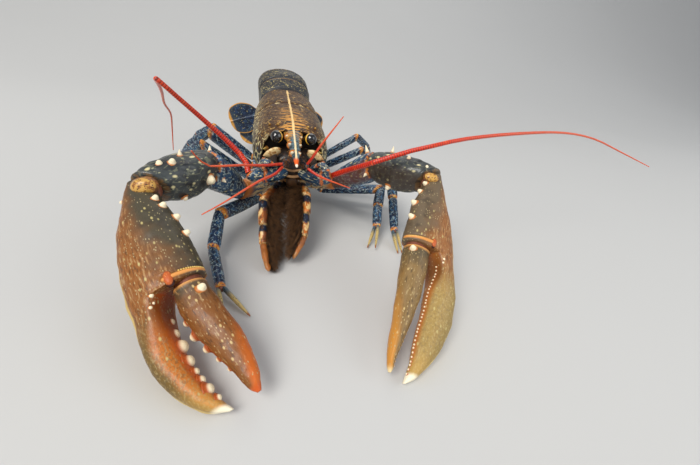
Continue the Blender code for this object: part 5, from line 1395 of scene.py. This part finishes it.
def arm_look(name, base, dark, pale, joint, net):
    """The two segments that carry a large claw, dark with pale flecks and a broken net."""
    look = Look(name, 0.4)
    look.start(base, dark, look.blots(8.0, 0.42, 0.66))
    look.lay(pale, look.net(3.4, 0.1, (0.6, 1, 1), 0.52), net)
    look.lay(pale, look.flecks(2.3, 0.17, 1.0, (0.6, 1, 1)))
    look.lay((214, 202, 150), look.flecks(4.6, 0.17, 0.8, (0.6, 1, 1)))
    look.lay(look.mix(joint, dark, 0.72), look.span("cross", -0.6, -0.95), 0.7)
    root = look.mix((214, 186, 136), (70, 100, 122), look.blots(2.6, 0.46, 0.58, 3.0, (0.4, 1, 1)))
    root = look.mix(root, (122, 84, 48), look.blots(4.0, 0.54, 0.66, 2.0))
    look.lay(look.mix(root, (206, 120, 44), look.span("along", 0.72, 0.95)), look.span("tint", 4.4, 4.6))
    look.lay(joint, look.span("soft", 0.4, 0.9), look.blots(2.6, 0.4, 0.6, 2.0))
    return knobbed(look).finish()


def leg_look():
    """Walking legs, with tips that are blue at the root, then pale with dark dots and a horny point."""
    look = Look("leg shell", 0.4)
    look.start(DEEP_BLUE, (10, 20, 40), look.blots(5.0, 0.4, 0.65))
    look.lay((44, 96, 136), look.blots(3.0, 0.5, 0.66, 3.0, (0.5, 1, 1)))
    look.lay((160, 182, 184), look.net(2.2, 0.11, (0.6, 1, 1), 0.53))
    look.lay((132, 168, 178), look.flecks(1.5, 0.18, 0.9, (0.7, 1, 1)), 0.7)
    joint = look.span(look.wander("along", 2.0, 0.05), 0.93, 0.985)
    look.lay((214, 128, 40), joint, look.blots(2.2, 0.38, 0.5, 2.0))
    look.lay((226, 186, 96), joint, look.blots(1.7, 0.55, 0.62, 2.0))
    toe = look.mix((70, 92, 104), (196, 172, 108), look.span("along", 0.1, 0.45))
    toe = look.mix(toe, (40, 44, 46), look.flecks(1.3, 0.22, 1.1, (0.8, 1, 1)))
    toe = look.mix(toe, (150, 84, 36), look.span("along", 0.86, 0.95))
    look.lay(toe, look.span("tint", 0.4, 0.6))
    return knobbed(look).finish()


def carapace_look():
    """The shell over head and chest, with its net, back line, beak and the painted shade in the hollow of its
    face.
    """
    look = Look("carapace shell", 0.1)
    x, y, z = look.node("ShaderNodeSeparateXYZ", {0: look.place}).outputs
    aside = look.calc("ABSOLUTE", x)
    top = look.span("face", 0.25, 0.8)
    look.start((30, 28, 26), CHESTNUT, look.span("face", -0.1, 0.75))
    look.lay(look.mix(CHESTNUT, INK, 0.55), look.blots(7.0, 0.45, 0.7))
    look.lay((104, 72, 38), look.blots(3.0, 0.55, 0.7), top)
    look.lay((206, 192, 140), look.net(3.6, 0.13, (1, 0.9, 0.55), 0.47), look.span("face", 0.86, 0.55))
    look.lay((190, 152, 84), look.net(3.0, 0.09, (0.55, 1.2, 1), 0.53), top, 0.85)
    look.lay((70, 92, 104), look.flecks(4.2, 0.2, 0.9), look.span("face", 0.7, 0.3))
    look.lay((214, 150, 62), look.blots(2.6, 0.5, 0.58, 1.0, (0.28, 1.5, 1)), look.span(aside, 15.0, 4.0),
             look.span(y, 66.0, 18.0), look.span(z, 60.0, 66.0))
    look.lay((226, 206, 150), look.span("tint", 0.08, 0.3), look.span("tint", 0.8, 0.45),
             look.blots(5.0, 0.42, 0.52), look.between(aside, 7.0, 27.0, 5.0))
    look.lay(INK, look.span("tint", 0.45, 0.9), 0.75)
    look.lay((238, 200, 134), look.span(look.wander(aside, 6.0, 1.6), 1.9, 1.25), look.span(z, 66.0, 70.0))
    look.lay((206, 160, 96), look.span(look.wander("face", 4.0, 0.14), -0.84, -0.93))
    look.lay(beak_colour(look, aside), look.span("tint", -0.4, -0.6))
    # Painted shade: the hollow of the face is darkened nearly to black.
    look.lay((22, 14, 9), look.span("soft", 0.3, 0.6))
    return knobbed(look).finish((0.46, 0.64))


def beak_colour(look, aside):
    colour = look.mix((84, 108, 116), (32, 44, 52), look.blots(2.4, 0.42, 0.62))
    dashed = look.mix(CHESTNUT, (208, 146, 62), look.blots(2.2, 0.48, 0.56, 1.0, (0.3, 1.5, 1)))
    colour = look.mix(colour, dashed, look.span(look.calc("ABSOLUTE", "cross"), 0.5, 0.8),
                      look.span("along", 0.72, 0.5))
    colour = look.mix(colour, (196, 140, 66), look.span("along", 0.62, 0.35),
                      look.blots(2.0, 0.5, 0.57, 1.0, (0.35, 1.4, 1)))
    colour = look.mix(colour, (236, 214, 166), look.span(look.wander(aside, 3.0, 1.0), 1.35, 0.95))
    colour = look.mix(colour, (226, 96, 24), look.span("along", 0.86, 0.92))
    return look.mix(colour, (250, 240, 214), look.span("along", 0.965, 0.985))


def tail_look():
    look = Look("tail shell", 0.12)
    look.start((38, 42, 50), (62, 58, 54), look.blots(6.0, 0.4, 0.62))
    look.lay((22, 26, 34), look.span("along", 0.28, 0.14))
    look.lay((184, 168, 112), look.net(2.9, 0.09, (0.6, 1.2, 0.8), 0.54), look.span("along", 0.26, 0.4), 0.85)
    look.lay((150, 136, 92), look.flecks(1.9, 0.18, 1.0))
    look.lay((178, 132, 70), look.span("along", 0.93, 0.97), 0.7)
    look.lay(look.mix((196, 148, 84), DEEP_BLUE, look.blots(3.4, 0.4, 0.62, 2.0)),
             look.span(look.wander("face", 4.0, 0.3), 0.32, 0.05), 0.75)
    look.lay((172, 116, 66), look.span("tint", 0.4, 0.6))
    return look.finish()


def fan_look():
    look = Look("tail fan shell", 0.35)
    edge = look.calc("ABSOLUTE", "cross")
    inside = look.both(look.span("along", 0.84, 0.76), look.span(edge, 0.86, 0.78))
    look.start((34, 58, 92), (18, 28, 48), look.blots(5.0, 0.4, 0.62))
    look.lay((120, 146, 140), look.flecks(1.7, 0.2, 1.1))
    look.lay((170, 158, 110), look.flecks(3.6, 0.16, 0.9))
    look.lay((52, 66, 76), look.calc("SUBTRACT", 1.0, inside), 0.6)
    rim = look.calc("MAXIMUM", look.span("along", 0.9, 0.95), look.span(edge, 0.92, 0.965))
    look.lay((216, 156, 70), rim)
    return look.finish()


def underside_look():
    look = Look("underside shell", 0.25)
    look.start((206, 168, 112), (156, 104, 58), look.blots(8.0, 0.4, 0.66))
    look.lay((92, 96, 104), look.blots(5.0, 0.56, 0.66, 2.0), 0.6)
    return look.finish()


def face_look():
    """The plate under the eyes and the jaws: near black with brown blotches, brown jaws and pale lips."""
    look = Look("face plate", 0.25)
    look.start((30, 20, 13), (74, 48, 28), look.blots(4.0, 0.48, 0.7))
    look.lay((152, 116, 70), look.flecks(2.6, 0.17, 0.9))
    look.lay(look.mix((112, 78, 48), (54, 34, 20), look.noise(3.0, 3.0)), look.span("tint", 0.4, 0.6))
    look.lay(look.mix((196, 156, 108), (136, 92, 56), look.noise(2.0)), look.span("soft", 0.4, 0.6))
    return look.finish()


def eye_look():
    """Glossy black, with a gold rim on the side towards the beak and a brown stalk."""
    look = Look("eye", 1.0, 0.5)
    look.shader.inputs["Coat Roughness"].default_value = 0.03
    look.start((5, 5, 6), (13, 11, 12), look.cells(0.35).outputs["Distance"])
    look.lay(look.mix((88, 60, 30), (190, 150, 80), look.noise(1.2)), look.span("along", 0.34, 0.26))
    look.lay((250, 196, 70), look.between("tint", -0.05, 0.32, 0.06), look.span("soft", 0.15, 0.35))
    return look.finish((0.06, 0.12), 0.2, 0.35, 0.04)


def feeler_base_look():
    look = Look("feeler base shell", 0.4)
    look.start((30, 68, 98), (14, 26, 42), look.blots(4.0, 0.4, 0.62))
    look.lay((196, 196, 168), look.net(2.3, 0.11, (0.7, 1, 1), 0.52))
    look.lay((222, 208, 150), look.flecks(1.8, 0.2, 1.0))
    look.lay((212, 112, 36), look.span("along", 0.78, 0.92), look.blots(2.0, 0.36, 0.46, 2.0))
    scale = look.mix((232, 206, 150), (176, 122, 60), look.blots(2.4, 0.44, 0.66))
    scale = look.mix(scale, (120, 80, 40), look.span("along", 0.08, 0.0))
    look.lay(scale, look.span("tint", 0.4, 0.6))
    look.lay(look.mix((26, 22, 20), (62, 44, 30), look.noise(2.0)), look.span("tint", 1.4, 1.6))
    return look.finish()


def feeler_look():
    """Bright red, with a fine dark ring at each joint, paler and more orange to the tip."""
    look = Look("feeler", 0.35)
    beat = look.node("ShaderNodeSeparateXYZ", {0: look.place}).outputs[0]
    ring = look.span(look.calc("COSINE", look.calc("MULTIPLY", beat, 2 * math.pi)), 0.55, 0.9)
    look.start((206, 44, 16), (238, 96, 48), look.span("along", 0.1, 0.7))
    look.lay((232, 84, 36), look.blots(3.0, 0.55, 0.7, 2.0))
    look.lay((84, 10, 5), ring, 0.8)
    stalk = look.mix((26, 34, 46), (120, 74, 40), look.blots(2.4, 0.45, 0.6, 2.0))
    look.lay(stalk, look.span("tint", 0.4, 0.6))
    return look.finish((0.3, 0.42), 0.2, 0.5, 0.15)


def mouth_leg_look():
    """Bands of dark blue, orange and cream along each segment."""
    look = Look("mouth leg shell", 0.35)
    warm = look.mix((196, 108, 32), (228, 192, 128), look.blots(3.0, 0.48, 0.56))
    warm = look.mix(warm, (120, 62, 24), look.span("cross", 0.6, 0.95))
    cold = look.mix((22, 36, 60), (10, 12, 18), look.blots(3.0, 0.4, 0.6))
    cold = look.mix(cold, (110, 132, 140), look.flecks(1.6, 0.18, 1.0))
    look.start(cold, warm, look.span(look.wander("along", 3.0, 0.4), 0.55, 0.7))
    look.lay((214, 184, 124), look.span("soft", 0.6, 0.95), 0.5)
    look.lay((72, 42, 20), look.blots(2.4, 0.5, 0.62, 3.0, (0.5, 1, 1)), 0.75)
    look.lay(look.mix((204, 120, 40), (120, 64, 26), look.noise(3.0)), look.span("tint", 0.9, 1.0), 0.8)
    return knobbed(look).finish()


def hair_look():
    look = Look("mouth hair", 0.0)
    look.start((34, 20, 10), (112, 76, 42), look.span("along", 0.1, 0.95))
    look.lay((20, 12, 7), look.blots(2.5, 0.5, 0.62, 2.0))
    look.lay((150, 110, 66), look.blots(0.5, 0.56, 0.66, 2.0), "along", 0.6)
    return look.finish((0.5, 0.65), 0.2, 0.5, 0.1)


def paper_look():
    look = Look("studio paper", 0.0)
    look.place = look.node("ShaderNodeTexCoord", {}).outputs["Object"]
    values = {0: look.noise(0.9), 6: PAPER_DARK, 7: PAPER_PALE}
    colour = look.node("ShaderNodeMix", values, data_type="RGBA").outputs[2]
    look.tree.links.new(colour, look.shader.inputs["Base Color"])
    look.shader.inputs["Roughness"].default_value = 0.9
    return look.material


def make_looks():
    return {
        "arm": arm_look("arm shell", (36, 78, 114), (16, 28, 46), (172, 190, 184), (206, 122, 48), 0.9),
        "carpus": arm_look("wrist shell", (56, 62, 62), (24, 28, 32), (150, 150, 118), (112, 84, 50), 0.35),
        "crusher_palm": palm_look("crusher shell", CRUSHER["step"], SLATE, RUST, OLIVE, (184, 106, 32),
                                  (196, 86, 24), (206, 176, 100), 0.5, 0.966),
        "cutter_palm": palm_look("cutter shell", CUTTER["step"], (106, 90, 68), (152, 96, 44), (150, 124, 64),
                                 (162, 134, 74), (176, 104, 42), (242, 206, 92), 0.1, 0.952),
        "crusher_dactyl": dactyl_look("crusher finger shell", (126, 76, 28), (198, 98, 24), (200, 88, 26),
                                      0.93),
        "cutter_dactyl": dactyl_look("cutter finger shell", (134, 106, 62), (200, 136, 54),
                                     (238, 214, 160), 0.95),
        "leg": leg_look(),
        "carapace": carapace_look(),
        "tail": tail_look(),
        "fan": fan_look(),
        "cream": underside_look(),
        "face": face_look(),
        "eye": eye_look(),
        "feeler_base": feeler_base_look(),
        "feeler": feeler_look(),
        "mouth_leg": mouth_leg_look(),
        "hair": hair_look(),
    }


def link(name, data):
    made = bpy.data.objects.new(name, data)
    bpy.context.scene.collection.objects.link(made)
    return made


def make_camera():
    data = bpy.data.cameras.new("photo camera")
    data.sensor_width = SENSOR
    data.lens = LENS_PX / PHOTO_WIDTH_PX * SENSOR
    data.clip_start = 0.01
    camera = link("photo camera", data)
    yaw, pitch, roll = (math.radians(turn) for turn in (CAMERA_YAW, CAMERA_PITCH, CAMERA_ROLL))
    forward = Vector((math.sin(yaw) * math.cos(pitch), math.cos(yaw) * math.cos(pitch), -math.sin(pitch)))
    right = Vector((math.cos(yaw), -math.sin(yaw), 0.0))
    up = right.cross(forward)
    right_rolled = right * math.cos(roll) + up * math.sin(roll)
    up_rolled = up * math.cos(roll) - right * math.sin(roll)
    turn = Matrix((right_rolled, up_rolled, -forward)).transposed()
    camera.matrix_world = Matrix.Translation(CAMERA_PLACE * MM + ORIGIN) @ turn.to_4x4()
    bpy.context.scene.camera = camera


def make_studio():
    """A pale floor that curves up into a backdrop, three soft lights and a pale room."""
    profile = [(FLOOR_FRONT, 0.0), (CURVE_START, 0.0)]
    for bend in np.linspace(0, math.pi / 2, CURVE_STEPS + 1)[1:]:
        profile.append((CURVE_START + CURVE_RADIUS * math.sin(bend), CURVE_RADIUS * (1 - math.cos(bend))))
    profile.append((CURVE_START + CURVE_RADIUS, BACKDROP_TOP))
    points = [(x, y, z) for y, z in profile for x in (-FLOOR_HALF_WIDTH, FLOOR_HALF_WIDTH)]
    faces = [(2 * k, 2 * k + 1, 2 * k + 3, 2 * k + 2) for k in range(len(profile) - 1)]
    mesh = bpy.data.meshes.new("floor")
    mesh.from_pydata(points, [], faces)
    mesh.polygons.foreach_set("use_smooth", np.ones(len(faces), bool))
    mesh.materials.append(paper_look())
    floor = link("floor", mesh)
    for name, place, size, power, colour in LAMPS:
        data = bpy.data.lights.new(name, "AREA")
        data.energy = power
        data.size = size
        data.color = colour
        lamp = link(name, data)
        lamp.location = place
        lamp.rotation_euler = (Vector(LAMP_TARGET) - Vector(place)).to_track_quat("-Z", "Y").to_euler()
    world = bpy.data.worlds.new("studio")
    world.use_nodes = True
    background = world.node_tree.nodes["Background"]
    background.inputs[0].default_value = ROOM_COLOUR
    background.inputs[1].default_value = ROOM_STRENGTH
    bpy.context.scene.world = world
    bpy.context.scene.view_settings.view_transform = "Standard"


make_camera()
make_studio()
looks = make_looks()
for make_part in (make_carapace, make_sternum, make_epistome, make_abdomen, make_tail_fan, make_eyes,
                  make_feelers, make_maxillipeds, make_mouth_hair):
    make_part(looks)
make_cheliped("crusher", -1, "r", CRUSHER, looks)
make_cheliped("cutter", 1, "l", CUTTER, looks)
make_legs(looks)
